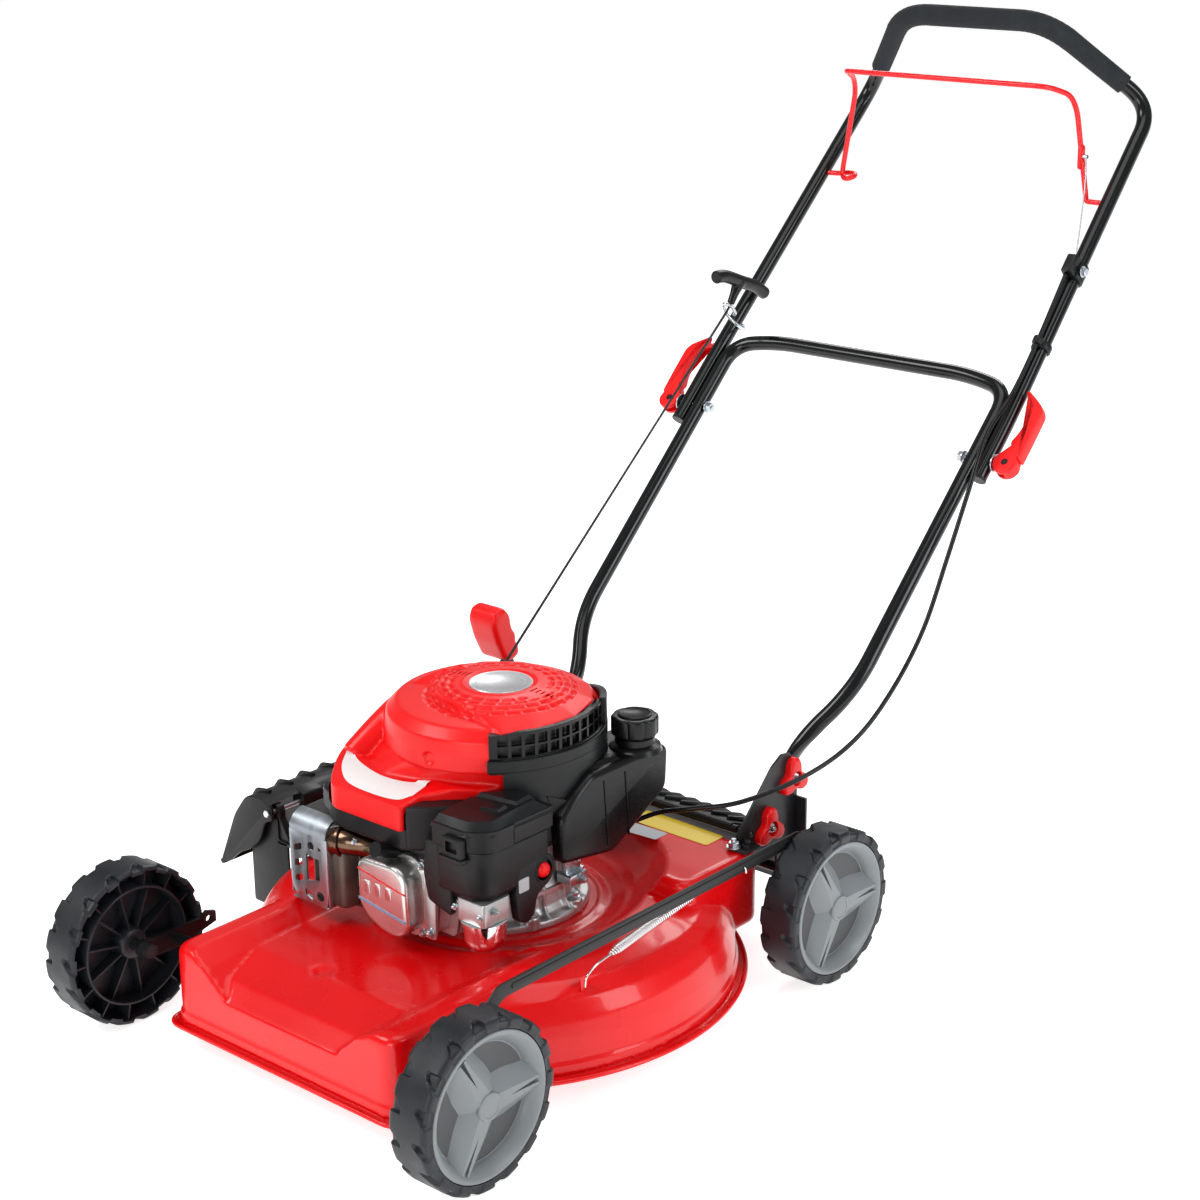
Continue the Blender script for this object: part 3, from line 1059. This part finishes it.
def build_intake():
    body_plan = rounded([(66, 151, 5), (112, 151, 14), (131, 168, 14), (131, 252, 6), (70, 256, 8)], 6, 5)
    tub = slab(body_plan, 196, 246, edge=2.5, steps=3)
    chin = hull([(70, 155, 196), (112, 155, 196), (128, 170, 196), (128, 214, 196), (70, 214, 196),
                 (74, 160, 184), (108, 160, 184), (121, 172, 184), (121, 208, 184), (74, 208, 184)])
    left_wing = slab(rounded([(50, 176), (84, 166), (84, 244), (48, 244), (44, 206)], 6), 153, 161, "Y",
                     1.6, 3)
    tub = clear_of_shroud(joined(tub, chin, left_wing))
    piece("filter_tub", tub, BLACK_PLASTIC, "frame", ["air_filter_box"], crease=40, bevel=0.8)
    lid_plan = rounded([(62, 148, 5), (112, 148, 13), (134, 166, 13), (134, 196, 2), (132, 199, 2),
                        (132, 259, 5), (64, 259, 6)], 5, 5)
    lid = slab(lid_plan, 247, 269, edge=0)
    top = hull([(62, 148, 264), (112, 148, 264), (134, 168, 264), (134, 259, 264), (62, 259, 264),
                (66, 158, 276), (106, 158, 277), (124, 174, 277), (124, 236, 281), (66, 240, 281)])
    pads = merged(hull([(94, 186, 275), (118, 192, 275), (118, 206, 278), (94, 200, 278), (96, 188, 281),
                        (115, 193, 281), (115, 204, 283), (96, 199, 283)]),
                  hull([(70, 206, 278), (122, 214, 277), (122, 240, 279), (70, 240, 281), (74, 210, 284),
                        (118, 217, 283), (118, 236, 285), (74, 236, 286)]))
    lid = clear_of_shroud(joined(lid, top, pads))
    tab = joined(slab(rounded([(84, 240), (112, 240), (112, 262), (84, 262)], 3), 141.5, 149, "Y", 1.2),
                 slab(rounded([(80, 236), (114, 236), (114, 241), (80, 241)], 1.5), 139.5, 149, "Y", 0.8))
    tab = without(tab, slab(rounded([(90, 246), (106, 246), (106, 258), (90, 258)], 2), 136, 146, "Y"))
    piece("filter_lid", merged(lid, tab), BLACK_PLASTIC, "filter_lid", ["air_filter_cover"], crease=40,
          bevel=0.9)
    housing = slab(rounded([(206, 214, 3), (226, 218, 6), (254, 218, 14), (261, 202, 12), (253, 186, 10),
                            (232, 178, 8), (228, 158, 6), (216, 150, 5), (204, 156, 4), (200, 186, 5)], 6,
                           5), 120, 131.5, "X", 1.6, 3)
    pocket = rod((119, *PRIMER), (150, *PRIMER), 12, 40)
    housing = without(housing, pocket)
    cup = without(rod((112, *PRIMER), (132.4, *PRIMER), 13.5, 48, 1),
                  rod((105, *PRIMER), (150, *PRIMER), 11.4, 40))
    piece("primer_housing", merged(housing, cup), BLACK_PLASTIC, "frame", crease=40)
    tile = slab(rounded([(204, 188), (219, 188), (219, 203), (204, 203)], 2), 131.4, 131.9, "X")
    piece("symbol_plate", tile, GREY_LABEL, "frame")
    bulb = lathe([(0, 114.5), (7.4, 114.5), (7.6, 121), (8.6, 123), (8.8, 128), (8.0, 132), (6.0, 134.8),
                  (3.0, 136), (0, 136.2)], 48, (0, *PRIMER), "X")
    piece("primer_button", bulb, RED_PLASTIC, "primer", ["primer_bulb"])
    bowl = lathe([(0, 131), (6, 131), (16, 133.5), (21.5, 139), (23, 146), (23, 160), (24.5, 161),
                  (24.5, 164), (0, 164)], 64, (108, 176, 0))
    piece("carburettor_bowl", bowl, CHROME, "frame", ["carburettor"])
    throat = joined(slab(rounded([(88, 156), (128, 156), (128, 196), (88, 196)], 5), 164, 190, edge=1.5),
                    rod((94, 181, 180), (36, 181, 180), 12, 32),
                    rod((119, 186, 178), (126, 186, 178), 6, 24, 1))
    piece("carburettor_throat", throat, CAST, "frame", crease=35, bevel=0.5)
    piece("bowl_bolt",
          merged(rod((108, 176, 128), (108, 176, 132), 4.5, 6, 0.6),
                 rod((108, 176, 127.4), (108, 176, 129), 2.6, 16, 0.3)), ZINC, "frame")
    for i, (x, y, z, d) in enumerate(((86, 160, 178, (0, -1, 0)), (122, 160, 176, (0, -1, 0)),
                                      (128, 170, 180, (1, 0, 0)))):
        piece(f"carburettor_screw_{i}", hex_bolt((x, y, z), d, 4, 4, 5.4, 2, 2.5), ZINC, "frame")
    link = tube(curve_route([(96, 200, 184), (92, 230, 186), (96, 262, 184), (94, 300, 188),
                             (96, 322, 186)], 8), 1.1, 8)
    piece("governor_link", link, STEEL, "frame")


def build_tank():
    side = rounded([(272, 196, 7), (352, 184, 8), (440, 231, 10), (443, 277, 7), (433, 284, 7),
                    (318, 284, 7), (292, 268, 7), (270, 246, 7)], 7, 5)
    shell = slab(side, 62, 133, "X")
    rims = [e for e in shell.edges if all(v.co.x > 132.9 for v in e.verts)]
    bmesh.ops.bevel(shell, geom=rims, offset=7, segments=5, affect="EDGES", profile=0.5)
    pad = hull([(80, 322, 283), (122, 318, 283), (126, 372, 283), (80, 376, 283), (84, 328, 288),
                (117, 325, 288), (120, 366, 288), (84, 370, 288)])
    seat = lathe([(0, 280), (30, 280), (28, 286), (22, 289), (22, 296), (0, 296)], 48, (112, 410, 0))
    shoulder = hull([(92, 288, 262), (126, 290, 262), (128, 302, 222), (92, 300, 222), (96, 262, 274),
                     (116, 266, 272), (118, 280, 232), (96, 278, 232)])
    shell = clear_of_shroud(joined(shell, pad, seat, shoulder))
    creases = [spun(block(132.2, 133.9, y - 0.8, y + 0.8, 196, 272), lean, "X", (0, y, 236))
               for y, lean in ((338, 4), (372, 4))]
    piece("tank_shell", merged(shell, *creases), SATIN_PLASTIC, "frame", ["fuel_tank"], crease=35,
          bevel=1.2, steps=3)
    lobed = lobed_outline(160, lambda a: 24.2 + 1.8 * abs(math.cos(4 * a)) ** 0.5)
    crown = shifted(slab(lobed, 298, 320, edge=3.2, steps=4), 112, 410)
    top = lathe([(0, 318), (18.5, 318), (18.5, 321.6), (17, 322.4), (15.6, 321.2), (0, 321.2)], 64,
                (112, 410, 0))
    neck = lathe([(0, 289), (20, 289), (21.5, 291), (21.5, 293.5), (19.5, 295), (19.5, 299), (0, 299)], 64,
                 (112, 410, 0))
    piece("fuel_cap_crown", merged(crown, top, neck), SATIN_PLASTIC, "cap", ["fuel_cap"], crease=45)


# ---------------------------------------------------------------- handle, grip, bail and their hardware
PIVOT = (911.0, 516.5)
FLAT_X, KNOB_X = 167.5, (172.9, 189.0)
LEG_WAY = Vector((0, 0.705, 0.709)).normalized()


def mirrored_path(half):
    return list(half) + [(-x, y, z) for x, y, z in reversed(half)]


def build_handles():
    lower = mirrored_path([(FLAT_X, 549, 147), (FLAT_X, 628, 233), (208, 679, 292), (208, 982, 585),
                           (146, 992, 594)])
    path = route(lower, 46, 5)
    tube_mesh = tube(path, 9.5, 32)
    for v in tube_mesh.verts:
        amount = 1 - smoothstep(206, 246, v.co.z)
        middle = math.copysign(FLAT_X + 1.1, v.co.x)
        if v.co.y < 660:
            v.co.x += (middle + (v.co.x - middle) * 0.40 - v.co.x) * amount
            across = 0.35 * amount * (0.676 * (v.co.z - 147) - 0.736 * (v.co.y - 549))
            v.co.y -= 0.736 * across
            v.co.z += 0.676 * across
    piece("lower_tube", tube_mesh, BLACK_TUBE, "frame", ["lower_handle"], crease=50)
    upper = mirrored_path([(227.5, 894, 500), (227.5, 950, 554.5), (211, 1284, 890), (107, 1199, 994)])
    piece("upper_tube", tube(route(upper, 40, 5), 9.5, 32), BLACK_TUBE, "handle", ["upper_handle"], crease=50)
    for side, s in SIDES.items():
        end = Vector((227.5 * s, 894, 500))
        piece(f"tube_plug_{side}", rod(end - LEG_WAY * 3, end + LEG_WAY * 1, 9.9, 32, 1.0), BLACK_PLASTIC,
              "handle")
    corner, top = Vector((107, 1199, 994)), Vector((211, 1284, 890))
    foot = top.lerp(corner, 0.27)
    sleeve = route(mirrored_path([foot, corner]), 40, 2.5)
    swell = [13.4 - 0.9 * bell(min(i, len(sleeve) - 1 - i), 0, 1.0) + 0.12 * math.sin(i * 1.9)
             for i in range(len(sleeve))]
    grip = piece("grip_sleeve", tube(sleeve, swell, 40), FOAM, "handle", ["foam_grip"], crease=60)


def build_bail():
    half = [(184, 1180, 786), (184, 1180, 791), (166, 1180, 893), (162, 1170, 912), (152, 1142, 922),
            (144, 1128, 925)]
    shapes = [tube(route(mirrored_path(half), [4, 12, 12, 12, 14] + [14, 12, 12, 12, 4], 3), 3.4, 20)]
    shapes.append(tube(route([(184, 1180, 790), (185, 1180, 784), (213, 1180, 784)], 6, 2), 3.4, 20))
    eye = [(-184, 1180, 790), (-183, 1179, 783), (-176, 1173, 780), (-168, 1172, 781), (-165, 1179, 783),
           (-170, 1187, 785), (-182, 1189, 785), (-194, 1183, 784), (-213, 1180, 784)]
    shapes.append(tube(curve_route(eye, 6), 3.4, 20))
    flattened = slab(rounded([(1174, 822), (1186, 822), (1186, 852), (1174, 852)], 5), 172.6, 177.4, "X",
                     1.6, 3)
    shapes.append(flattened)
    piece("bail_wire", merged(*shapes), RED_WIRE, "bail", ["brake_bail"], crease=50)
    nipple = rod((171, 1180, 838), (184, 1180, 838), 3.0, 20, 0.8)
    piece("bail_nipple", nipple, ZINC, "bail")


def lever_frame(side):
    """Takes (outward, up the leg, square to the handle) at a cam barrel into the layout."""
    s = SIDES[side]
    out_way = Vector((1, 0, 0))
    square = out_way.cross(LEG_WAY)
    basis = Matrix((out_way, LEG_WAY, square)).transposed().to_4x4()
    place = Matrix.Translation((254.3, *PIVOT)) @ basis
    return place if s > 0 else Matrix.Scale(-1, 4, (1, 0, 0)) @ place


def build_cam_levers():
    for side, s in SIDES.items():
        place = lever_frame(side)
        base = [(15 * math.cos(math.radians(a)), 15 * math.sin(math.radians(a))) for a in range(138, 356, 8)]
        arm = rounded([(15.5, 6), (16, 38), (15.5, 74), (10, 83), (-4, 93), (-13.5, 99), (-15.5, 95),
                       (-4, 85), (1, 78), (2, 58), (-0.5, 40), (-5, 26)], 4, 5)
        blank = slab(base + arm, -8.5, 8.5, edge=1.6, steps=4)
        notch = rod((-22, 99, 0), (2, 97, 0), 5.6, 32)
        slot = block(-20, 3.5, -20, 3.5, -3.6, 3.6)
        bore = rod((0, 0, -12), (0, 0, 12), 4.2, 32)
        shape = without(blank, notch, slot, bore)
        moved(shape, place)
        piece(f"quick_lever_{side}", shape, RED_PLASTIC, f"cam_{side}", [f"cam_lever_{side}"], crease=40,
              bevel=0.5)
        barrel = merged(rod((0, 0, -8.2), (0, 0, 8.2), 3.9, 32, 0.6), rod((0, 0, 8.0), (0, 0, 8.6), 1.2, 12))
        moved(barrel, place)
        piece(f"lever_barrel_{side}", barrel, BLACK_PRESSED, "handle")
        y, z = PIVOT
        bolt = merged(rod((186.5 * s, y, z), (252 * s, y, z), 2.9, 24, 0.6),
                      rod((237.3 * s, y, z), (238.9 * s, y, z), 11, 40, 0.3),
                      rod((188 * s, y, z), (194.2 * s, y, z), 6.8, 6, 0.8),
                      rod((194.2 * s, y, z), (196 * s, y, z), 8, 32, 0.4))
        piece(f"lever_bolt_{side}", bolt, ZINC, "handle", [f"cam_bolt_{side}"])


def build_brackets_and_knobs():
    for side, s in SIDES.items():
        keep(f"handle_bracket_{side}", BLACK_PRESSED, 0.7)
        foot_bolt = hex_bolt((180 * s, 497, 153.3), (0, 0, 1), 6.5, 4.6, 8.5, 3, 4)
        piece(f"bracket_bolt_{side}", foot_bolt, ZINC, "frame")
        for where, (y, z) in (("lower", (558, 157)), ("upper", (601, 204))):
            outline = lobed_outline(120, lambda a: 18.6 + 6.0 * math.cos(3 * (a - math.pi / 2)), y, z)
            body = slab(outline, KNOB_X[0] + 2.6, KNOB_X[1], "X", 3.4, 5)
            hub = rod((KNOB_X[0], y, z), (KNOB_X[0] + 8, y, z), 11, 48)
            well = rod((KNOB_X[1] - 6.5, y, z), (KNOB_X[1] + 5, y, z), 8.6, 48)
            knob = without(joined(body, hub), well)
            screw = merged(rod((181, y, z), (186.2, y, z), 6.9, 6, 0.7),
                           rod((181, y, z), (190.5, y, z), 3.2, 24, 0.8),
                           rod((153, y, z), (175, y, z), 3.1, 20, 0.5),
                           rod((155.5, y, z), (160.8, y, z), 6.8, 6, 0.7))
            if s < 0:
                knob, screw = flipped(knob), flipped(screw)
            piece(f"clamp_knob_{where}_{side}", knob, RED_PLASTIC, f"clamp_{where}_{side}",
                  [f"knob_{where}_{side}"], crease=50, bevel=0.4)
            piece(f"knob_screw_{where}_{side}", screw, ZINC, f"clamp_{where}_{side}")


# ---------------------------------------------------------------- starter rope, brake cable
RING = Vector((-198, 957, 637))
ROPE_WAY = Vector((0, 0.55, 0.835)).normalized()


def leg_point(y, out=0.0, up=0.0):
    """A point on the left upper leg at this y, moved outward and square up from the handle."""
    lean = (227.5 - 211) / (1284 - 950)
    return Vector((227.5 - (y - 950) * lean + out, y - up * 0.7, 554.5 + (y - 950) * 1.0045 + up * 0.7))


def twisted(path, radius, strands=3, turn_length=9.0):
    """Laid rope: strands wound round each other along the path."""
    length, walked = 0.0, [0.0]
    for a, b in zip(path, path[1:]):
        length += (b - a).length
        walked.append(length)
    shapes = []
    normal = (path[1] - path[0]).cross(Vector((0.3, 0.2, 1))).normalized()
    normals = [normal]
    for i in range(1, len(path)):
        a = (path[i] - path[i - 1]).normalized()
        b = (path[min(i + 1, len(path) - 1)] - path[i]).normalized() if i + 1 < len(path) else a
        normals.append((a.rotation_difference(b) @ normals[-1]).normalized())
    for k in range(strands):
        line = []
        for i, p in enumerate(path):
            tangent = (path[min(i + 1, len(path) - 1)] - path[max(i - 1, 0)]).normalized()
            other = tangent.cross(normals[i])
            turn = 2 * math.pi * (walked[i] / turn_length + k / strands)
            line.append(p + (normals[i] * math.cos(turn) + other * math.sin(turn)) * radius * 0.46)
        shapes.append(tube(line, radius * 0.56, 8))
    return merged(*shapes)


def build_rope():
    exit_point, inside = Vector((-62, 390, 343)), Vector((-34, 348, 329.5))
    points = route([inside, exit_point, RING, RING + ROPE_WAY * 22], 8, 1.8)
    piece("pull_rope", twisted(points, 1.75), ROPE, "frame", ["starter_rope"], crease=70)
    eyelet = aimed(exit_point, (RING - exit_point).normalized())
    ferrule = lathe([(2.6, -5), (5.5, -5), (6.2, -3.5), (6.2, 0), (5.2, 1.6), (3.4, 2.2), (2.6, 1)], 40)
    piece("rope_eyelet", moved(ferrule, eyelet), BLACK_PLASTIC, "frame")
    wire = curve_route([(-208, 1000, 604), (-203, 990, 606), (-200, 972, 616), (-205, 962, 628),
                        (-206, 956, 640), (-198, 950, 644), (-190, 954, 640), (-190, 960, 632),
                        (-196, 966, 628)], 10)
    piece("rope_pigtail",
          merged(tube(wire, 2.1, 16), rod((-207, 1000, 604), (-212.5, 1000, 604), 5, 6, 0.6)), ZINC,
          "handle", ["rope_guide"])
    bar = curve_route([(-198, 930, 681), (-198, 942, 681), (-198, 955, 678), (-198, 982, 668),
                       (-198, 1008, 659), (-198, 1021, 652), (-198, 1032, 645)], 10)
    sizes = [7.4] + [8.4] * (len(bar) - 2) + [7.4]
    stem = [RING + ROPE_WAY * t for t in (7, 12, 20, 28, 37)]
    grip = joined(tube(bar, sizes, 32), tube(stem, [4.8, 5.2, 5.6, 7, 9.5], 32))
    grip = without(melted(grip, 0.9, 4), rod(RING, RING + ROPE_WAY * 26, 2.5, 24))
    piece("pull_handle", grip, SATIN_PLASTIC, "pull", ["starter_handle"], crease=60)


def build_cable():
    line = [leg_point(1106, -2, 17), leg_point(1070, 0, 17), leg_point(1027, 1, 15.5), leg_point(975, 1, 17)]
    line += [(231, 901, 550), (236, 858, 490), (241, 812, 424), (244, 762, 350), (241, 705, 290),
             (235, 645, 249), (222, 575, 226), (186, 505, 207), (140, 474, 196), (104, 462, 186),
             (76, 448, 172)]
    sheath = curve_route(line, 14)
    piece("cable_sheath", tube(sheath, 2.8, 16), SATIN_PLASTIC, "frame", ["brake_cable"], crease=60)
    wire = [(182, 1180, 838), (196, 1156, 803), leg_point(1120, -2, 17), leg_point(1107, -2, 17)]
    piece("cable_wire", twisted(curve_route(wire, 40), 1.0, 3, 5.0), STEEL, "handle", ["brake_wire"],
          crease=70)
    way = (leg_point(1116) - leg_point(1092)).normalized()
    up = Vector((0, -0.7, 0.7)).normalized()
    middle = leg_point(1104)
    basis = Matrix((way.cross(up), up, way)).transposed().to_4x4()
    place = Matrix.Translation(middle) @ basis
    band = joined(slab(circle(0, 0, 12.8, 48), -12, 12, edge=1.2),
                  slab(rounded([(-8, 4), (8, 4), (7, 25), (-7, 25)], 4), -12, 12, edge=1.0))
    band = without(band, rod((0, 0, -20), (0, 0, 20), 9.8, 48), rod((0, 17, -20), (0, 17, 20), 3.2, 24),
                   block(-9, 9, 11, 13, -20, 20))
    screw = merged(rod((9, 6, 0), (18, 6, 0), 3, 20, 0.4), rod((13, 6, 0), (17.5, 6, 0), 5.4, 6, 0.8),
                   rod((12, 6, 0), (13, 6, 0), 7, 32, 0.3))
    moved(band, place)
    moved(screw, place)
    piece("clamp_body", band, BLACK_PLASTIC, "handle", ["cable_clamp"], crease=40, bevel=0.4)
    piece("clamp_screw", screw, ZINC, "handle")
    place = Matrix.Translation(leg_point(1027)) @ basis
    ring = joined(slab(circle(0, 0, 12.4, 48), -5, 5, edge=1.6, steps=3),
                  slab(circle(1, 15.5, 6.2, 32), -5, 5, edge=1.4, steps=3))
    ring = without(ring, rod((0, 0, -20), (0, 0, 20), 9.7, 48), rod((1, 15.5, -20), (1, 15.5, 20), 3.0, 24))
    piece("cable_collar", moved(ring, place), BLACK_PLASTIC, "handle")


# ---------------------------------------------------------------- chute, rear guard
def build_chute():
    front, rear = 214.0, 402.0
    cheek = rounded([(-304, 46), (-241, 46), (-241, 134), (-256, 134), (-256, 160), (-276, 160),
                     (-304, 120)], 4)
    lug = rounded([(-256, 130), (-236, 130), (-254, 161), (-253.5, 168), (-256, 174), (-262, 176.5),
                   (-268, 174), (-270.5, 168), (-268, 161), (-256, 150)], 2)
    parts = [slab(cheek, front + 1, front + 4, "Y", 0.8), slab(cheek, rear - 4, rear - 1, "Y", 0.8),
             slab(rounded([(-258, 129.5), (-206, 129.5), (-206, 133), (-258, 133)], 1), front + 1, rear - 1,
                  "Y", 0.5), slab(lug, front + 3, front + 12, "Y", 1.0),
             slab(lug, rear - 12, rear - 3, "Y", 1.0)]
    for i in range(5):
        y = front + 30 + i * 32
        parts.append(slab([(-256, 132), (-210, 132), (-256, 146)], y - 1.2, y + 1.2, "Y", 0.4))
    piece("chute_frame", merged(*parts), BLACK_PLASTIC, "frame", ["chute_duct"], crease=35, bevel=0.5)
    pin = merged(rod((-262, front - 9, 168), (-262, rear + 11, 168), 3, 24, 0.6),
                 rod((-262, front - 11, 168), (-262, front - 8, 168), 4.6, 6, 0.8),
                 rod((-262, rear + 8, 168), (-262, rear + 12, 168), 5.6, 6, 0.8))
    piece("hinge_bolt", pin, ZINC, "frame", ["chute_rod"])
    outer = rounded([(-256, 177), (-276, 184), (-300, 180), (-322, 152), (-352, 84), (-338, 86),
                     (-318, 104), (-300, 112), (-279, 130), (-268, 156), (-256, 159)], 9, 6)
    hollow = rounded([(-240, 100), (-240, 174.5), (-276, 181), (-298, 177), (-319, 150), (-346, 88),
                      (-346, 60), (-240, 60)], 7, 6)
    cover = slab(outer, front - 7, rear + 7, "Y", 1.4, 3)
    cover = without(cover, slab(hollow, front - 3.5, rear + 3.5, "Y"))
    ribs = []
    for i in range(6):
        y = front + 12 + i * 33
        ribs.append(slab(rounded([(-278, 182), (-299, 178.6), (-321, 151), (-344, 100), (-348, 101),
                                  (-325, 153), (-302, 183), (-278, 187)], 2), y - 1.8, y + 1.8, "Y", 0.6))
    blocks = [slab(rounded([(-254, 162), (-254, 178), (-274, 183), (-274, 162)], 4), y0, y0 + 30, "Y", 1.2)
              for y0 in (front + 40, rear - 70)]
    stop = slab(rounded([(-348, 90), (-354, 84), (-350, 80), (-342, 84)], 2), front - 7, rear + 7, "Y", 1.2)
    flap = without(joined(cover, stop, *ribs, *blocks), rod((-262, 100, 168), (-262, 500, 168), 3.3, 24))
    piece("chute_cover", flap, BLACK_PLASTIC, "flap", ["chute_flap"], crease=35, bevel=0.5)
    coil = []
    for i in range(14 * 9):
        turn = 2 * math.pi * i / 14
        coil.append((-262 + 5.6 * math.cos(turn), front + 76 + i * 36 / 126, 168 + 5.6 * math.sin(turn)))
    coil = [(-282, front + 74, 178), (-270, front + 75, 174)] + coil + [(-256, front + 113, 160),
                                                                        (-254, front + 114, 140)]
    piece("flap_spring", tube(coil, 0.9, 8), STEEL, "frame", crease=70)


def build_rear_guard():
    panel = rounded([(524, 160), (528, 164), (536, 162), (590, 139), (601, 128), (634, 58), (630, 56),
                     (597, 124), (588, 134), (532, 156)], 3)
    sheet = slab(panel, -152, 152, "X", 0.8)
    ribs = [slab(rounded([(538, 160), (590, 140), (602, 129), (630, 70), (633, 74), (606, 134), (592, 145),
                          (540, 165)], 2), x - 1.6, x + 1.6, "X", 0.5) for x in range(-138, 139, 23)]
    barrel = rod((-160, 530, 157), (160, 530, 157), 5, 32, 0.8)
    pins = rod((-169, 530, 157), (169, 530, 157), 2.9, 24, 0.5)
    piece("trailing_guard", merged(joined(sheet, barrel, pins, *ribs)), BLACK_PLASTIC, "guard",
          ["rear_guard"], crease=35, bevel=0.5)


# ---------------------------------------------------------------- axles, height lever, tie bar, spring
TIE_X, BAR_Z = 233.0, 165.0


def build_axles():
    for end in ("front", "rear"):
        keep(f"{end}_axle", BLACK_PRESSED, 0.8)
        y = AXLE_Y[end]
        pin = merged(rod((235, y - 14, 129), (239.5, y - 14, 129), 5.6, 6, 0.9),
                     rod((234.6, y - 14, 129), (235.6, y - 14, 129), 8, 32, 0.3))
        piece(f"tie_pin_head_{end}_left", pin, ZINC, f"{end}_crank")
        piece(f"crank_rivet_{end}", rod((-229.5, y - 8, 89), (-228, y - 8, 89), 6, 24, 0.6), ZINC,
              f"{end}_crank")
    strip = slab(rounded([(586, 89), (606, 89), (592, 190), (562, 300), (546, 296), (574, 190)], 6), -228.2,
                 -223.8, "X", 0.6)
    piece("lever_strip", strip, BLACK_PRESSED, "rear_crank")
    grip = slab(rounded([(566, 262), (578, 268), (577, 280), (572, 286), (573, 296), (566, 304), (563, 322),
                         (552, 334), (537, 330), (532, 316), (540, 290), (553, 264)], 5, 6), -262, -216,
                "X", 6.5, 6)
    grip = melted(grip, 1.6, 10)
    grip = without(grip, slab([(594, 180), (563, 301), (545, 297), (571, 180)], -228.6, -223.4, "X"))
    piece("lever_grip", grip, RED_PLASTIC, "rear_crank", ["height_lever_grip"], crease=45, bevel=0.6)
    keep("height_quadrant", BLACK_PRESSED, 0.6)


def build_tie_bar():
    (fy, fz), (ry, rz) = (26, 129), (582, 129)
    outline = rounded([(fy - 8, fz + 4), (fy + 1, fz - 9), (fy + 9, fz + 1), (74, BAR_Z - 8),
                       (ry - 44, BAR_Z - 8), (ry - 7, rz - 4), (ry + 1, rz - 9), (ry + 8, rz),
                       (ry - 36, BAR_Z + 7), (66, BAR_Z + 7)], 7, 6)
    bar = slab(outline, TIE_X - 1.5, TIE_X + 1.5, "X", 0.5)
    rib = slab(rounded([(84, BAR_Z - 3), (ry - 54, BAR_Z - 3), (ry - 54, BAR_Z + 3), (84, BAR_Z + 3)], 2.9,
                       6), TIE_X + 1.2, TIE_X + 2.6, "X", 0.6)
    holes = [rod((TIE_X - 9, y, z), (TIE_X + 9, y, z), r, 24)
             for y, z, r in ((fy, fz, 3.2), (ry, rz, 3.2), (446, BAR_Z - 2, 2.2))]
    bar = without(joined(bar, rib), *holes)
    piece("linkage_bar", bar, STRAP, "tie", ["tie_bar"], crease=35, bevel=0.3)
    x = TIE_X - 8
    a, b = Vector((x, 238, 136)), Vector((x, 376, 156))
    way = (b - a).normalized()
    side = Vector((1, 0, 0))
    up = way.cross(side)
    turns, per = 46, 12
    coil = []
    for i in range(turns * per + 1):
        t = i / (turns * per)
        turn = 2 * math.pi * i / per
        reach = 4.6 * min(1, 0.35 + 8 * t, 0.35 + 8 * (1 - t))
        coil.append(a + (b - a) * t + (side * math.cos(turn) + up * math.sin(turn)) * reach)
    spring = tube(coil, 1.05, 8)
    front_hook = tube(route([(x, 240, 136.3), (x, 216, 133), (x - 1, 202, 124), (x - 1, 201, 114)], 6, 1.5),
                      1.1, 12)
    rear_hook = tube(route([(x, 374, 155.7), (x, 438, 162), (TIE_X - 6, 446, 163), (TIE_X + 4, 446, 163),
                            (TIE_X + 4.5, 446, 157)], 3, 1.5), 1.1, 12)
    piece("coil_spring", merged(spring, front_hook, rear_hook), CHROME, "tie", ["assist_spring"], crease=70)
    tab = slab(rounded([(194, 126), (208, 128), (206, 112), (196, 110)], 2), x - 3, x - 1.4, "X", 0.4)
    piece("spring_anchor", tab, RED_PAINT, "frame")


def build_running_gear():
    keep("blade", BLACK_PRESSED, 0.4)
    keep("blade_adapter", CAST, 0.6)
    for node, material in (("blade_bolt", ZINC), ("crankshaft", STEEL), ("flywheel", CAST),
                           ("recoil_pulley", BLACK_PLASTIC)):
        keep(node, material, 0.5)
    way = Vector((-16, 20, 40)).normalized()
    place = aimed(filler(1.36), way)
    knurl = lobed_outline(100, lambda a: 12.2 + 1.6 * math.cos(5 * a))
    head = merged(moved(slab(knurl, -7, 6, edge=2.2, steps=4), place),
                  tube([filler(-0.2), filler(0.7)], 2.8, 20), tube([filler(0.7), filler(1.3)], 8.3, 32))
    piece("oil_dipstick", head, BLACK_PLASTIC, "stick", ["dipstick"], crease=45)


# ---------------------------------------------------------------- the whole mower
place_camera()
studio()
for build in (build_wheels, build_deck, build_cowl, build_shroud, build_block, build_valve_cover,
              build_exhaust, build_intake, build_tank, build_handles, build_bail, build_cam_levers,
              build_brackets_and_knobs, build_rope, build_cable, build_chute, build_rear_guard, build_axles,
              build_tie_bar, build_running_gear):
    build()
